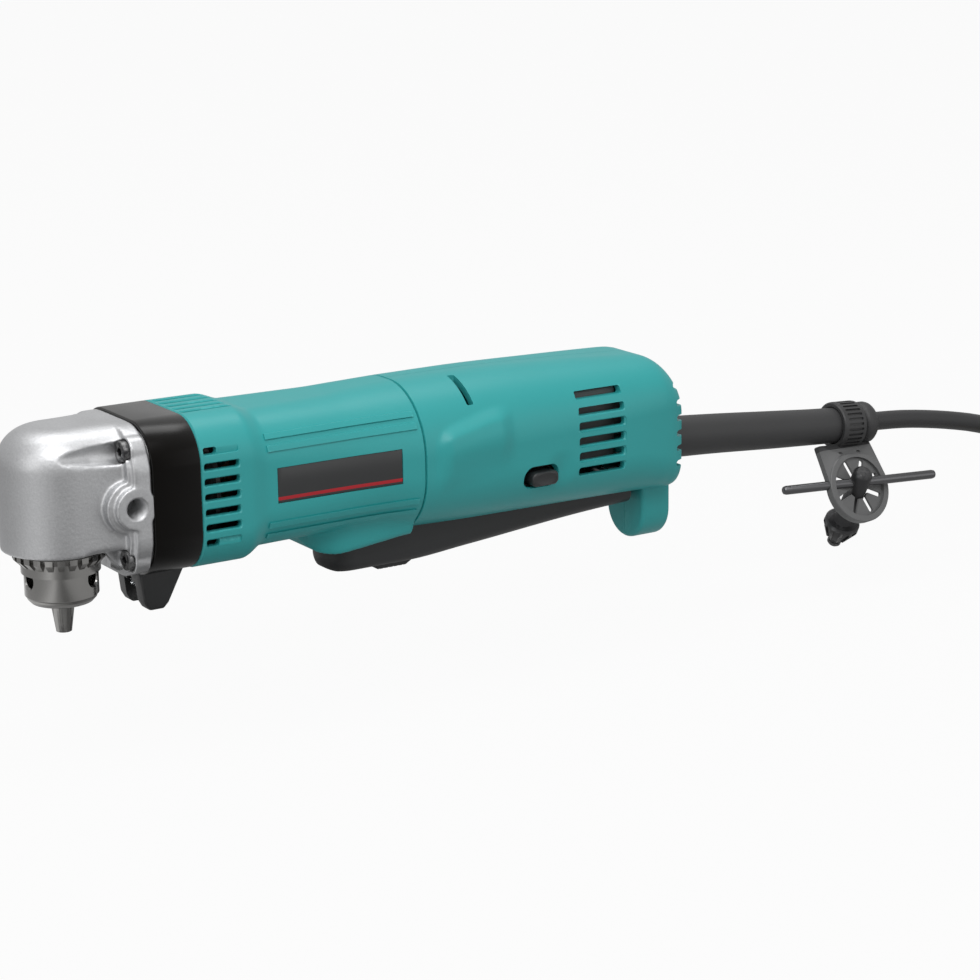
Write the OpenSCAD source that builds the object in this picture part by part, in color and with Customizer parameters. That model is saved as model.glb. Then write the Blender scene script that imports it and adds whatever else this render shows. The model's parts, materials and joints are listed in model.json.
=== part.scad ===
// A corded right angle drill with a keyed chuck, a paddle switch and a chuck key in a holder on the
// cord guard.
// Millimetres, +Z up, +X to the rear. The motor axis is the X axis, and the origin is on it, in the middle
// of the grip.

/* [Layout] */
// From the middle of the grip forward to the spindle axis
spindle_reach = 98; // [96:1:106]
// From the middle of the grip back to the seam between the motor housing and the rear housing
seam_reach = 31; // [29:1:36]
// From the seam back to the rear end of the housing
rear_len = 116; // [114:1:128]
// From the spindle axis back to the rear face of the gear housing
head_len = 23; // [22.5:0.5:26]
// Length of the black band
band_len = 18; // [17.5:0.5:22]
// Width of the band and of the collar behind it
body_w = 55; // [54:0.5:60]
// Height of the band and of the collar behind it
body_h = 54; // [53:0.5:58]
// Corner radius of the band
body_r = 13; // [11:0.5:14]
// Thickness of the band
band_t = 2.5; // [2:0.25:3]
// Wall of the plastic housings
wall = 2.8; // [2.2:0.1:3.2]
// Clearance of a part that is pressed or seated in another
seat_gap = 0.05; // [0.02:0.01:0.1]
// Running clearance of a shaft in its bearing
run_gap = 0.06; // [0.03:0.01:0.1]
// Clearance round a part that slides or swings in a housing
slide_gap = 0.4; // [0.3:0.05:0.6]

/* [Gear housing] */
// Radius of the round nose about the spindle axis
head_r = 20; // [19.5:0.25:22]
// Top of the nose above the motor axis
head_top = 26.5; // [26:0.5:30]
// Bottom of the nose below the motor axis
head_low = 15.5; // [15:0.25:16.5]
// Rounding of the top edge of the nose
head_round = 13; // [8:0.5:14]
// Thickness of the rear flange
flange_t = 8; // [6:0.5:9]
// Radius of the boss round each side handle hole
boss_r = 9.5; // [7:0.5:11]
// Core radius of the side handle thread
handle_hole_r = 3.4; // [2.5:0.1:4.2]
// Depth of each side handle hole
handle_hole_len = 9; // [7:0.5:9.5]
// From the side of the band in to the flange screws
screw_in_y = 7.2; // [6.7:0.1:8]
// From the top and bottom of the band in to the flange screws
screw_in_z = 8.2; // [7.5:0.1:9]
// Radius of the shank of a flange screw
screw_r = 2; // [1.5:0.1:2.2]
// Radius of the head of a flange screw
screw_head_r = 3.4; // [3:0.1:3.6]

/* [Gears] */
// Module of the bevel gears
bevel_m = 1.1; // [1.05:0.01:1.12]
// Teeth of the bevel gear on the spindle
bevel_teeth = 30; // [29:1:30]
// Teeth of the bevel pinion
bevel_pinion_teeth = 10; // [10:1:11]
// Share of the bevel cone that the teeth cover
bevel_face = 0.42; // [0.35:0.01:0.44]
// Module of the first pair of gears
spur_m = 0.6; // [0.58:0.01:0.62]
// Teeth of the large gear of the first pair
spur_teeth = 32; // [31:1:33]
// Teeth of the pinion on the motor shaft
spur_pinion_teeth = 9; // [8:1:10]
// Width of the large gear of the first pair
spur_w = 8; // [6:0.5:9]
// Tooth play on the pitch circle
backlash = 0.2; // [0.15:0.01:0.3]

/* [Chuck] */
// Tip of the closed jaws below the motor axis
tip_drop = 46; // [45.5:0.25:47]
// Lower face of the chuck below the motor axis
nose_drop = 35.5; // [35:0.25:36]
// Radius of the chuck below its ring
nose_r = 12; // [11.5:0.1:12.4]
// Radius of the toothed ring
ring_r = 16.2; // [15.5:0.1:17]
// Lower edge of the toothed ring below the motor axis
ring_low = 25.5; // [25:0.1:26]
// Upper edge of the toothed ring below the motor axis
ring_top = 17.5; // [17.2:0.1:18]
// Teeth round the ring
ring_teeth = 24; // [18:1:30]
// Radius of each jaw
jaw_r = 2.9; // [2.6:0.05:3]
// Slope of the jaws from the spindle axis, degrees
jaw_slope = 16.2; // [15.5:0.1:16.5]
// Widest opening between the jaws
jaw_open = 10; // [8:0.5:10]
// Radius of the holes for the chuck key
key_hole_r = 3; // [2.5:0.1:3.2]
// Radius of the spindle in the chuck and the lower bearing
spindle_r = 5; // [4.5:0.1:5]

/* [Motor] */
// Outer radius of the field core
field_r = 21.5; // [20.5:0.1:21.8]
// Length of the armature winding between its core and the commutator
winding_len = 10.3; // [7:0.1:14]
// Radius of the armature core
armature_r = 12.5; // [11:0.25:13]
// Air gap between the armature and the field
air_gap = 0.5; // [0.4:0.1:0.8]
// Radius of the motor shaft
shaft_r = 4; // [3.5:0.1:4]
// Radius of the fan
fan_r = 21.5; // [19:0.5:22]
// Blades of the fan
fan_blades = 12; // [8:1:16]
// Radius of the commutator
comm_r = 9.5; // [8.5:0.25:10]
// Outer radius of the front motor bearing
front_bearing_r = 11; // [10:0.25:11.5]
// Outer radius of the rear motor bearing
rear_bearing_r = 9.5; // [9:0.25:10]
// Width of the motor bearings
motor_bearing_w = 6; // [5:0.5:6.5]

/* [Motor housing] */
// Length of the wide collar with the front vents
collar_len = 18.5; // [17.5:0.5:20]
// Width of the grip
grip_w = 52.4; // [51:0.2:54]
// Top of the grip above the motor axis
grip_top = 24.7; // [24.4:0.1:25.5]
// Bottom of the grip below the motor axis
grip_low = 24; // [23.8:0.1:25]
// Width at the seam
seam_w = 56.4; // [55:0.2:58]
// Top at the seam above the motor axis
seam_top = 26.2; // [25.8:0.1:28]
// Bottom at the seam below the motor axis
seam_low = 28; // [27.5:0.1:29]
// Side vents in each wall
side_vents = 7; // [5:1:8]
// Length of each side vent
vent_len = 13.4; // [10:0.2:15]
// Height of each side vent
vent_h = 2.6; // [2:0.1:3]
// Distance between neighbouring vents
vent_pitch = 5.3; // [4.8:0.1:5.6]
// Lowest point of the skirt round the front of the paddle, below the motor axis
skirt_low = 31.8; // [31:0.1:32.5]
// Length of the name plate
plate_len = 49; // [40:1:52]
// Height of the name plate
plate_h = 12.4; // [10:0.2:13]

/* [Rear housing] */
// Side vents in each rear wall
rear_vents = 6; // [4:1:7]
// Length of each rear vent
rear_vent_len = 20.5; // [15:0.5:21]
// Height of each rear vent
rear_vent_h = 3; // [2.4:0.1:3.4]
// Distance between neighbouring rear vents
rear_vent_pitch = 5.7; // [5:0.1:5.8]
// Width of the foot below the rear end
foot_w = 24; // [22:0.5:28]
// Length of the foot along the tool
foot_len = 13; // [11:0.5:14]
// Lowest point of the foot below the motor axis
foot_low = 50; // [49:0.25:52]
// Slots round the rear edge
edge_slots = 6; // [4:1:6]

/* [Switch] */
// Width of the paddle
paddle_w = 21; // [19:0.5:23]
// Lowest line of the paddle below the motor axis
paddle_low = 41.3; // [41:0.1:42]
// Wall of the paddle
paddle_wall = 2.2; // [1.8:0.1:2.6]
// Swing of the paddle from rest to full squeeze, degrees
paddle_swing = 2.8; // [2:0.1:2.9]
// Radius of the paddle's pivot pin
pin_r = 2; // [1.5:0.1:2.2]
// Width of the lock-off lever
lock_w = 8; // [6:0.5:10]
// Width of the switch body
switch_w = 22; // [18:0.5:26]
// Length of the switch body
switch_len = 32; // [28:0.5:34]
// Height of the switch body
switch_h = 25; // [22:0.5:27]
// Length of the reversing slide's button
reverse_len = 14; // [11:0.5:14.5]
// Height of the reversing slide's button
reverse_h = 8; // [6:0.5:9]
// Stand of the reversing slide out of the side wall
reverse_stand = 3; // [2.5:0.25:4]

/* [Cord and key] */
// Diameter of the cord
cord_d = 7.6; // [7:0.1:8]
// Radius of the cord guard where it leaves the housing
guard_root_r = 8.1; // [7.6:0.1:8.6]
// Radius of the cord guard near its end
guard_end_r = 7.2; // [6.6:0.1:7.4]
// Thickness of the key holder
holder_t = 2.6; // [2:0.1:3]
// Radius of the key holder's disc
holder_r = 13; // [11:0.5:14]
// Radius of the key's stem
key_r = 4; // [3.5:0.1:4.2]
// Length of the key's cross bar
key_bar_len = 68; // [60:1:76]
// Radius of the key's cross bar
key_bar_r = 2.5; // [2:0.1:2.8]
// Half the length of the straight runs in the cord's hank
hank_half = 48; // [42:1:52]
// Radius of the hank's folds, at the middle of the cord
hank_r = 24; // [23:0.5:25]
// Full turns in the hank
hank_turns = 4; // [3:1:4]
// Surface that the hank lies on, below the motor axis
floor_drop = 80; // [80:0.5:90]

/* [Hidden] */
$fn = 48;
e = 0.01;
teal = [0.24, 0.58, 0.56];
black = [0.16, 0.17, 0.17];
rubber = [0.22, 0.23, 0.23];
silver = [0.80, 0.81, 0.81];
steel = [0.62, 0.63, 0.64];
brass = [0.72, 0.58, 0.26];
copper = [0.70, 0.42, 0.24];

// Places along the motor axis
spx = -spindle_reach;
flange_x = spx + head_len;
box_x = flange_x + band_len;
seam_x = seam_reach;
rear_x = seam_x + rear_len;
handle_x = flange_x - 6;
boss_y = body_w / 2 - 0.5;
screw_y = body_w / 2 - screw_in_y;
screw_z = body_h / 2 - screw_in_z;

// Bevel and spur gears
cs_z = spur_m * (spur_teeth + spur_pinion_teeth) / 2;
bevel_ro = bevel_m * bevel_teeth / 2;
bevel_ho = bevel_m * bevel_pinion_teeth / 2;
bevel_cone = sqrt(bevel_ro * bevel_ro + bevel_ho * bevel_ho);
bevel_in = 1 - bevel_face;
bevel_add = 0.75 * bevel_m;
bevel_ded = 1.15 * bevel_m;
gear_floor = -4;
gear_roof = cs_z - bevel_ho + bevel_m + 1.8;
pinion_back = spx + bevel_ro;
cs_front_w = 5;
cs_front_r = 9;
cs_rear_w = 4.5;
cs_rear_r = 6.2;
cs_r = 3;
cs_rear_x = box_x - 1 - cs_rear_w;
spur_x = flange_x + 1.2;

// Spindle and chuck heights
lower_bearing_w = 7;
lower_bearing_r = 11;
lower_bearing_z = gear_floor - 0.5 - lower_bearing_w;
upper_bearing_r = 6;
upper_bearing_w = 5;
spindle_top_r = 4;
retainer_t = 1.3;
retainer_r = 14.2;
chuck_top = -lower_bearing_z + retainer_t + 0.6;
chuck_top_r = 13.9;
jaw_angles = [-2, 118, 238];
jaw_rho = 0.6;
jaw_gap = 0.12;
jaw_travel = jaw_open / 2 / sin(jaw_slope);
jaw_rise = jaw_travel * cos(jaw_slope);
jaw_top = -chuck_top - 0.4 - jaw_rise;
jaw_tip_r = 2.7;
jaw_root_r = 4.2;
bit_bore_r = jaw_open / 2 + 0.3;
nut_gap = 0.3;
spindle_low = -nose_drop + 16.7;

// Motor places
front_bearing_x = box_x + 1;
fan_x = front_bearing_x + motor_bearing_w + 1.4;
fan_w = 7;
chamber_end = fan_x + fan_w + 2.5;
baffle_t = 2;
core_x = chamber_end + baffle_t + 4;
rear_wall_t = 7;
rear_bearing_x = seam_x - rear_wall_t + 0.2;
comm_len = 11;
comm_x = rear_bearing_x - 2 - comm_len;
core_len = comm_x - winding_len - core_x;
brush_w = 6;
brush_h = 5;
brush_x = comm_x + comm_len / 2;
box_w = body_w - 2 * band_t;
box_h = body_h - 2 * band_t;

// Sections of the housings: place along X, half width, top, bottom, upper and lower corner radius
collar_end = box_x + collar_len;
collar_slope = 8.5;
motor_sections = [
    [box_x, body_w / 2, body_h / 2, body_h / 2, body_r, body_r - 1],
    [collar_end, body_w / 2, body_h / 2, body_h / 2, body_r, body_r - 1],
    [collar_end + collar_slope, grip_w / 2, grip_top, grip_low, 17, 16],
    [(collar_end + collar_slope + seam_x) / 2, grip_w / 2 + 0.3, grip_top + 0.2, grip_low, 20, 18],
    [seam_x - 16, grip_w / 2 + 1.2, grip_top + 0.9, grip_low + 1, 23, 21],
    [seam_x, seam_w / 2, seam_top, seam_low, 25, 23]];
// The rear housing's sections start at the seam and then lie at these distances before the rear end
rear_shape = [[rear_len, 0, 0, 0, 25, 23], [88, 0, 0.6, 0.5, 25, 22], [47, -0.8, 0.2, 0.5, 23, 20],
    [22, -1.8, -1.2, 0.5, 21, 18], [10, -3.2, -3.2, 0.5, 18, 16], [3.5, -6, -7.4, 0.5, 14, 13],
    [0, -11, -14.4, -2, 10, 10]];
function rear_sections(inset) = [for (s = rear_shape)
    [s[0] == rear_len ? seam_x - (inset > 0 ? e : 0) : rear_x - s[0] - (s[0] == 0 ? inset : inset / 2),
     seam_w / 2 + s[1] - inset, seam_top + s[2] - inset, seam_low + s[3] - inset, s[4] - inset,
         s[5] - inset]];

// Paddle, switch and pivot places
paddle_x = 1;
slot_x = paddle_x - 1.2;
pivot_x = rear_x - 20;
pivot_z = -23.5;
foot_x = rear_x - foot_len - 0.5;
slot_half = paddle_w / 2 + slide_gap + 0.3;
lock_x = 29;
spring_x = 15.8;
lock_z = -37.5;
switch_x = seam_x + 8;
switch_top = 5;
switch_low = switch_top - switch_h;
plunger_x = switch_x + switch_len - 8;
plunger_r = 2.6;
plunger_low = -28;
reverse_x = 81.5;
reverse_z = -13;
reverse_side = 26;
reverse_travel = 2 * reverse_stand - 1;
boss_at = [[seam_x + 12, 17.5], [rear_x - 24.5, 15], [rear_x - 24.5, -8]];
rear_vent_x = rear_x - 49.5;
top_slot_x = seam_x + 21;
top_slot_w = 2.8;

// Lamp places
lamp_w = 20;
lamp_low = -41.4;
lamp_x0 = flange_x + 3;
leg_t = 5.5;
diode_r = 2;

// Route of the cord from the end of the guard to its hank
guard_z = -12.7;
guard_route = [[rear_x - 7.4, 0, guard_z + 0.4], [rear_x + 3, 0, guard_z - 0.3],
    [rear_x + 32, 0, guard_z - 2.4],
    [rear_x + 62, 0, guard_z - 5], [rear_x + 88, 0, guard_z - 7.1], [rear_x + 105, 0, guard_z - 8.1]];
guard_radii = [guard_root_r, guard_root_r, guard_root_r - 0.3, guard_root_r - 0.6, guard_end_r, guard_end_r];
bead_x = rear_x + 105;
bead_len = 6;
bead_z = guard_z - 8.1;
bead_lean = 2.9;
exit_x = bead_x + bead_len * cos(bead_lean);
exit_z = bead_z - bead_len * sin(bead_lean);
hank_x = 450;
hank_low = -floor_drop + 1.5;
hank_end_z = hank_low + cord_d / 2;
hank_pitch = cord_d + 0.9;
hank_top = hank_end_z + hank_turns * hank_pitch;
hank_steps = 24;
hank_start = [hank_x - hank_half - cord_d, hank_r, hank_top];
cord_route = [[exit_x, 0, exit_z], [276, 0, -22.4], [294, 0, -25], [312, 0, -28.6], [328, 2, -33],
    [344, 7.6, -36.4], [360, 15.2, -38.9], [376, 21.4, -40.3], hank_start - [6.4, 0.2, 0], hank_start];
hank_lead = 18;

// Key holder and key places
collar_x = rear_x + 89;
collar_len_k = 14;
collar_z = guard_z - 7.16;
collar_in = guard_end_r + 0.4;
collar_out = collar_in + 1.8;
collar_lean = 3.4;
flap_swing = 24;
disc_drop = 29;
key_lean = 35;
key_yaw = -12;
key_stand = 7.5;
key_len = 44;

// Round bars along each axis, and boxes from ranges
module rod_x(x0, x1, r, y = 0, z = 0) translate([x0, y, z]) rotate([0, 90, 0]) cylinder(h = x1 - x0, r = r);
module rod_y(y0, y1, r, x, z) translate([x, y0, z]) rotate([-90, 0, 0]) cylinder(h = y1 - y0, r = r);
module rod_z(z0, z1, r) translate([spx, 0, z0]) cylinder(h = z1 - z0, r = r);
module span(x, y, z) translate([x[0], y[0], z[0]]) cube([x[1] - x[0], y[1] - y[0], z[1] - z[0]]);
module rounded(w, h, r) {
    square([w - 2 * r, h], center = true);
    square([w, h - 2 * r], center = true);
    for (u = [-1, 1], v = [-1, 1]) translate([u * (w / 2 - r), v * (h / 2 - r)]) circle(r);
}
module prism_x(x0, x1, w, h, r) translate([x0, 0, 0]) rotate([90, 0, 90]) linear_extrude(x1 - x0)
    rounded(w, h, r);
module side_plate(y0, y1) translate([0, y1, 0]) rotate([90, 0, 0]) linear_extrude(y1 - y0) children();
module both_sides() { children(); mirror([0, 1, 0]) children(); }

// A ball bearing as one ring with the groove between its races
module bearing(r_in, r_out, w) rotate_extrude() difference() {
    translate([r_in, 0]) square([r_out - r_in, w]);
    for (z = [0, w]) translate([(r_in + r_out) / 2, z]) square([(r_out - r_in) * 0.3, 0.8], center = true);
}

// A lofted body through the rounded sections of a housing
function section_ring(s) = [for (c = [0:3], k = [0:6])
    let (a = 90 * c + 15 * k, r = c < 2 ? s[4] : s[5], u = (c == 0 || c == 3) ? 1 : -1,
         zc = c < 2 ? s[2] - r : r - s[3])
    [s[0], u * (s[1] - r) + r * cos(a), zc + r * sin(a)]];
function skin_faces(rings, n) = concat([[for (k = [n - 1:-1:0]) k]],
    [for (i = [0:rings - 2], k = [0:n - 1]) [i * n + k, i * n + (k + 1) % n, (i + 1) * n + k]],
    [for (i = [0:rings - 2], k = [0:n - 1])
        [i * n + (k + 1) % n, (i + 1) * n + (k + 1) % n, (i + 1) * n + k]],
    [[for (k = [0:n - 1]) (rings - 1) * n + k]]);
module skin(rings) {
    n = len(rings[0]);
    flipped = [for (f = skin_faces(len(rings), n)) [for (k = [len(f) - 1:-1:0]) f[k]]];
    polyhedron(points = [for (r = rings) each r], faces = flipped, convexity = 8);
}
module loft(sections) skin([for (s = sections) section_ring(s)]);

// A round tube along a route, with one radius for each point
function unit(v) = v / norm(v);
function tube_ring(p, t, r, sides) = let (side = unit(cross([0, 0, 1], t)), up = cross(t, side))
    [for (k = [0:sides - 1]) p + r * (cos(360 * k / sides) * side + sin(360 * k / sides) * up)];
function heading(p, i) = unit(p[min(i + 1, len(p) - 1)] - p[max(i - 1, 0)]);
module tube(p, radii, sides, first, last) skin([for (i = [0:len(p) - 1])
    tube_ring(p[i], i == 0 ? first : i == len(p) - 1 ? last : heading(p, i), radii[i], sides)]);

// Gear outlines with involute flanks
function involute(a) = tan(a) * 180 / PI - a;
function tooth_half(m, z, r) = let (rb = m * z / 2 * cos(20))
    90 / z + involute(20) - (r > rb ? involute(acos(rb / r)) : 0) - backlash / (m * z) * 180 / PI;
module gear_outline(m, z, add, ded) {
    rp = m * z / 2;
    radii = [rp - ded, max(rp - ded, rp * cos(20)) + 0.02, rp, rp + add / 2, rp + add];
    polygon([for (i = [0:z - 1]) each concat(
        [for (r = radii) let (a = 360 * i / z - tooth_half(m, z, r)) r * [cos(a), sin(a)]],
        [for (k = [4:-1:0]) let (r = radii[k], a = 360 * i / z + tooth_half(m, z, r))
            r * [cos(a), sin(a)]])]);
}

// Gear housing
module head_half() {
    translate([0, -head_low]) square([head_r, head_low + head_top - head_round]);
    translate([0, -head_low]) square([head_r - head_round, head_low + head_top]);
    translate([head_r - head_round, head_top - head_round]) intersection() {
        circle(head_round);
        square(head_round + 1);
    }
}
module flange_screw_places() for (u = [-1, 1], v = [-1, 1]) translate([0, u * screw_y, v * screw_z])
    children();
screw_seat_x = flange_x - flange_t + 2.6;
module gear_housing() color(silver) difference() {
    union() {
        translate([spx, 0, 0]) rotate_extrude() head_half();
        translate([spx, 0, 0]) rotate([90, 0, 90]) linear_extrude(head_len) {
            head_half();
            mirror([1, 0]) head_half();
        }
        prism_x(flange_x - flange_t, flange_x, body_w - 1, body_h - 1, body_r);
        rod_y(-boss_y, boss_y, boss_r, handle_x, 0);
        side_plate(-head_r + 4, head_r - 4) polygon([[spx + 8, -head_low + 1], [flange_x - 1, -head_low + 1],
            [flange_x - 1, 3 - body_h / 2], [flange_x - flange_t, 3 - body_h / 2]]);
    }
    span([flange_x, flange_x + 20], [-60, 60], [-60, 60]);
    rod_z(-60, -head_low, ring_r + slide_gap + 0.2);
    rod_z(gear_floor, gear_roof, bevel_ro + 1.2);
    rod_z(gear_roof - e, head_top - upper_bearing_w - 2, upper_bearing_r + 2);
    rod_z(gear_roof - e, head_top - 2, upper_bearing_r + seat_gap);
    rod_z(lower_bearing_z, gear_floor + e, lower_bearing_r + seat_gap);
    rod_z(-head_low - 1, lower_bearing_z + e, retainer_r + 0.2);
    rod_x(spx, flange_x + e, bevel_ho + bevel_m + 0.9, 0, cs_z);
    rod_x(flange_x - cs_front_w - 0.2, flange_x + e, cs_front_r + seat_gap, 0, cs_z);
    flange_screw_places() {
        rod_x(spx - head_r - 1, screw_seat_x, screw_head_r + 0.4);
        rod_x(screw_seat_x - e, flange_x + 1, screw_r + 0.2);
    }
    both_sides() rod_y(-boss_y - 1, -boss_y + handle_hole_len, handle_hole_r, handle_x, 0);
}
module gear_housing_screws() color(steel) flange_screw_places() difference() {
    union() {
        rod_x(screw_seat_x - 3, screw_seat_x, screw_head_r);
        rod_x(screw_seat_x - e, box_x + 9, screw_r);
    }
    translate([screw_seat_x - 3 - e, 0, 0]) rotate([0, 90, 0]) cylinder(h = 1.6, r = 1.7, $fn = 6);
}

// Spindle, bevel gear and their bearings
module spindle() color(steel) union() {
    rod_z(spindle_low, gear_roof, spindle_r);
    rod_z(gear_roof - e, head_top - 2.4, spindle_top_r);
}
function bevel_point(off, half, s) = [s * (bevel_ro + off * bevel_ho / bevel_cone), s * half,
    cs_z + s * (off * bevel_ro / bevel_cone - bevel_ho)];
function bevel_half(off) = PI * bevel_m / 4 - backlash / 2 - off * tan(20);
module bevel_tooth() {
    root = -bevel_ded - 0.15;
    ends = [for (s = [1, bevel_in]) each [bevel_point(root, -bevel_half(root), s),
        bevel_point(root, bevel_half(root), s), bevel_point(bevel_add, bevel_half(bevel_add), s),
        bevel_point(bevel_add, -bevel_half(bevel_add), s)]];
    polyhedron(points = ends, faces = [[3, 2, 1, 0], [4, 5, 6, 7], [0, 1, 5, 4], [1, 2, 6, 5], [2, 3, 7, 6],
        [3, 0, 4, 7]]);
}
module bevel_gear() color(steel) translate([spx, 0, 0]) union() {
    out = bevel_point(-bevel_ded, 0, 1);
    inn = bevel_point(-bevel_ded, 0, bevel_in);
    rotate_extrude() polygon([[spindle_r + seat_gap, gear_floor + 0.3], [10, gear_floor + 0.3],
        [out[0], out[2] - 2.5], [out[0], out[2]], [inn[0], inn[2]], [spindle_r + seat_gap, inn[2]]]);
    for (i = [0:bevel_teeth - 1]) rotate(360 * i / bevel_teeth) bevel_tooth();
}
module spindle_lower_bearing() color(steel) translate([spx, 0, lower_bearing_z])
    bearing(spindle_r + run_gap, lower_bearing_r, lower_bearing_w);
module spindle_upper_bearing() color(steel) translate([spx, 0, head_top - 2.2 - upper_bearing_w])
    bearing(spindle_top_r + run_gap, upper_bearing_r, upper_bearing_w);
module bearing_retainer() color(steel) difference() {
    rod_z(lower_bearing_z - retainer_t, lower_bearing_z, retainer_r);
    rod_z(lower_bearing_z - retainer_t - 1, lower_bearing_z + 1, spindle_r + 1.5);
}

// Keyed chuck
function jaw_reach(z) = jaw_rho + (z + tip_drop) * tan(jaw_slope);
module jaw_bar(r, low, high) translate([jaw_rho, 0, -tip_drop]) rotate([0, jaw_slope, 0])
    translate([0, 0, low]) cylinder(h = high - low, r = r);
module chuck_body() color(steel) translate([spx, 0, 0]) difference() {
    z1 = -ring_low + 1;
    z2 = -ring_top + 0.2;
    rotate_extrude() polygon([[0, -nose_drop], [nose_r - 1.6, -nose_drop], [nose_r, -nose_drop + 2],
        [nose_r, z1 - 0.1], [jaw_reach(z1) + jaw_r, z1], [jaw_reach(z2) + jaw_r, z2], [chuck_top_r, z2 + 0.1],
        [chuck_top_r, -chuck_top], [0, -chuck_top]]);
    translate([0, 0, -nose_drop - 1]) cylinder(h = spindle_low + nose_drop - 1, r = bit_bore_r);
    translate([0, 0, spindle_low - 0.2]) cylinder(h = 30, r = spindle_r + seat_gap);
    for (a = jaw_angles) rotate(a) jaw_bar(jaw_r + 0.2, 0, 60);
    for (a = jaw_angles) rotate(a + 60) translate([0, 0, (1 - ring_low - nose_drop) / 2]) rotate([0, 90, 0])
        cylinder(h = 40, r = key_hole_r);
}
module chuck_ring() color(steel) translate([spx, 0, 0]) difference() {
    rotate_extrude() polygon([[nose_r + 0.15, -ring_low], [ring_r - 2.6, -ring_low],
        [ring_r, -ring_low + 3.4],
        [ring_r, -ring_top - 0.8], [ring_r - 0.8, -ring_top], [chuck_top_r - 0.25, -ring_top],
        [chuck_top_r - 0.25, -ring_low + 1.1], [nose_r + 0.15, -ring_low + 1.1]]);
    for (i = [0:ring_teeth - 1]) rotate(360 * (i + 0.5) / ring_teeth)
        translate([ring_r - 1, 0, -ring_low + 1])
        rotate([0, 38, 0]) cube([2.4, PI * ring_r / ring_teeth, 12], center = true);
}
module chuck_nut() color(steel) translate([spx, 0, 0]) {
    z1 = -ring_low + 1.3;
    z2 = -ring_top - 0.1;
    rotate_extrude() polygon([[jaw_reach(z1) + jaw_r + nut_gap, z1], [chuck_top_r - 0.25 - seat_gap, z1],
        [chuck_top_r - 0.25 - seat_gap, z2], [jaw_reach(z2) + jaw_r + nut_gap, z2]]);
}
module chuck_jaw(a) color(steel) translate([spx, 0, 0]) rotate(a) difference() {
    intersection() {
        jaw_bar(jaw_r, -6, 40);
        translate([0, 0, -tip_drop]) linear_extrude(jaw_top + tip_drop)
            polygon([[jaw_gap, 0], [20, -34], [20, 34]]);
    }
    difference() {
        translate([0, 0, -tip_drop - 1]) cylinder(h = tip_drop - nose_drop + 0.8, r = 20);
        translate([0, 0, -tip_drop - e]) cylinder(h = tip_drop - nose_drop, r1 = jaw_tip_r, r2 = jaw_root_r);
    }
}
module chuck_jaw_1() chuck_jaw(jaw_angles[0]);
module chuck_jaw_2() chuck_jaw(jaw_angles[1]);
module chuck_jaw_3() chuck_jaw(jaw_angles[2]);

// Countershaft with its bevel pinion, the large spur gear and their bearings
module countershaft() color(steel) union() {
    translate([pinion_back, 0, cs_z]) rotate([0, -90, 0])
        linear_extrude(height = bevel_ro * bevel_face, scale = bevel_in) rotate(180 / bevel_pinion_teeth)
        gear_outline(bevel_m, bevel_pinion_teeth, bevel_add, bevel_ded);
    rod_x(pinion_back - e, flange_x + 0.8, cs_r + 0.6, 0, cs_z);
    rod_x(flange_x, cs_rear_x + cs_rear_w, cs_r, 0, cs_z);
}
module reduction_gear() color(steel) translate([spur_x, 0, cs_z]) rotate([0, 90, 0]) difference() {
    linear_extrude(spur_w) gear_outline(spur_m, spur_teeth, 0.8 * spur_m, 1.2 * spur_m);
    translate([0, 0, -1]) cylinder(h = spur_w + 2, r = cs_r + seat_gap);
}
module countershaft_front_bearing() color(steel) translate([flange_x - cs_front_w - 0.1, 0, cs_z])
    rotate([0, 90, 0])
    bearing(cs_r + 0.6 + run_gap, cs_front_r, cs_front_w);
module countershaft_rear_bearing() color(steel) translate([cs_rear_x, 0, cs_z]) rotate([0, 90, 0])
    bearing(cs_r + run_gap, cs_rear_r, cs_rear_w);

// Bearing box and the band round it
module bearing_box() color(silver) difference() {
    union() {
        prism_x(flange_x, box_x, box_w - 2 * seat_gap, box_h - 2 * seat_gap, body_r - band_t);
        rod_x(box_x - e, front_bearing_x + motor_bearing_w, front_bearing_r + 2);
    }
    rod_x(flange_x - 1, cs_rear_x - 0.6, spur_m * (spur_teeth + 2) / 2 + 0.9, 0, cs_z);
    rod_x(cs_rear_x - 0.7, box_x - 1, cs_rear_r + seat_gap, 0, cs_z);
    rod_x(flange_x - 1, cs_rear_x - 0.6, shaft_r + 1);
    rod_x(flange_x - 1, box_x + 9, shaft_r + 0.5);
    rod_x(front_bearing_x, front_bearing_x + motor_bearing_w + 1, front_bearing_r + seat_gap);
    flange_screw_places() rod_x(flange_x - 1, box_x + 1, screw_r + 0.2);
}
module housing_band() color(black) difference() {
    prism_x(flange_x, box_x, body_w, body_h, body_r);
    prism_x(flange_x - 1, box_x + 1, box_w, box_h, body_r - band_t);
}

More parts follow.
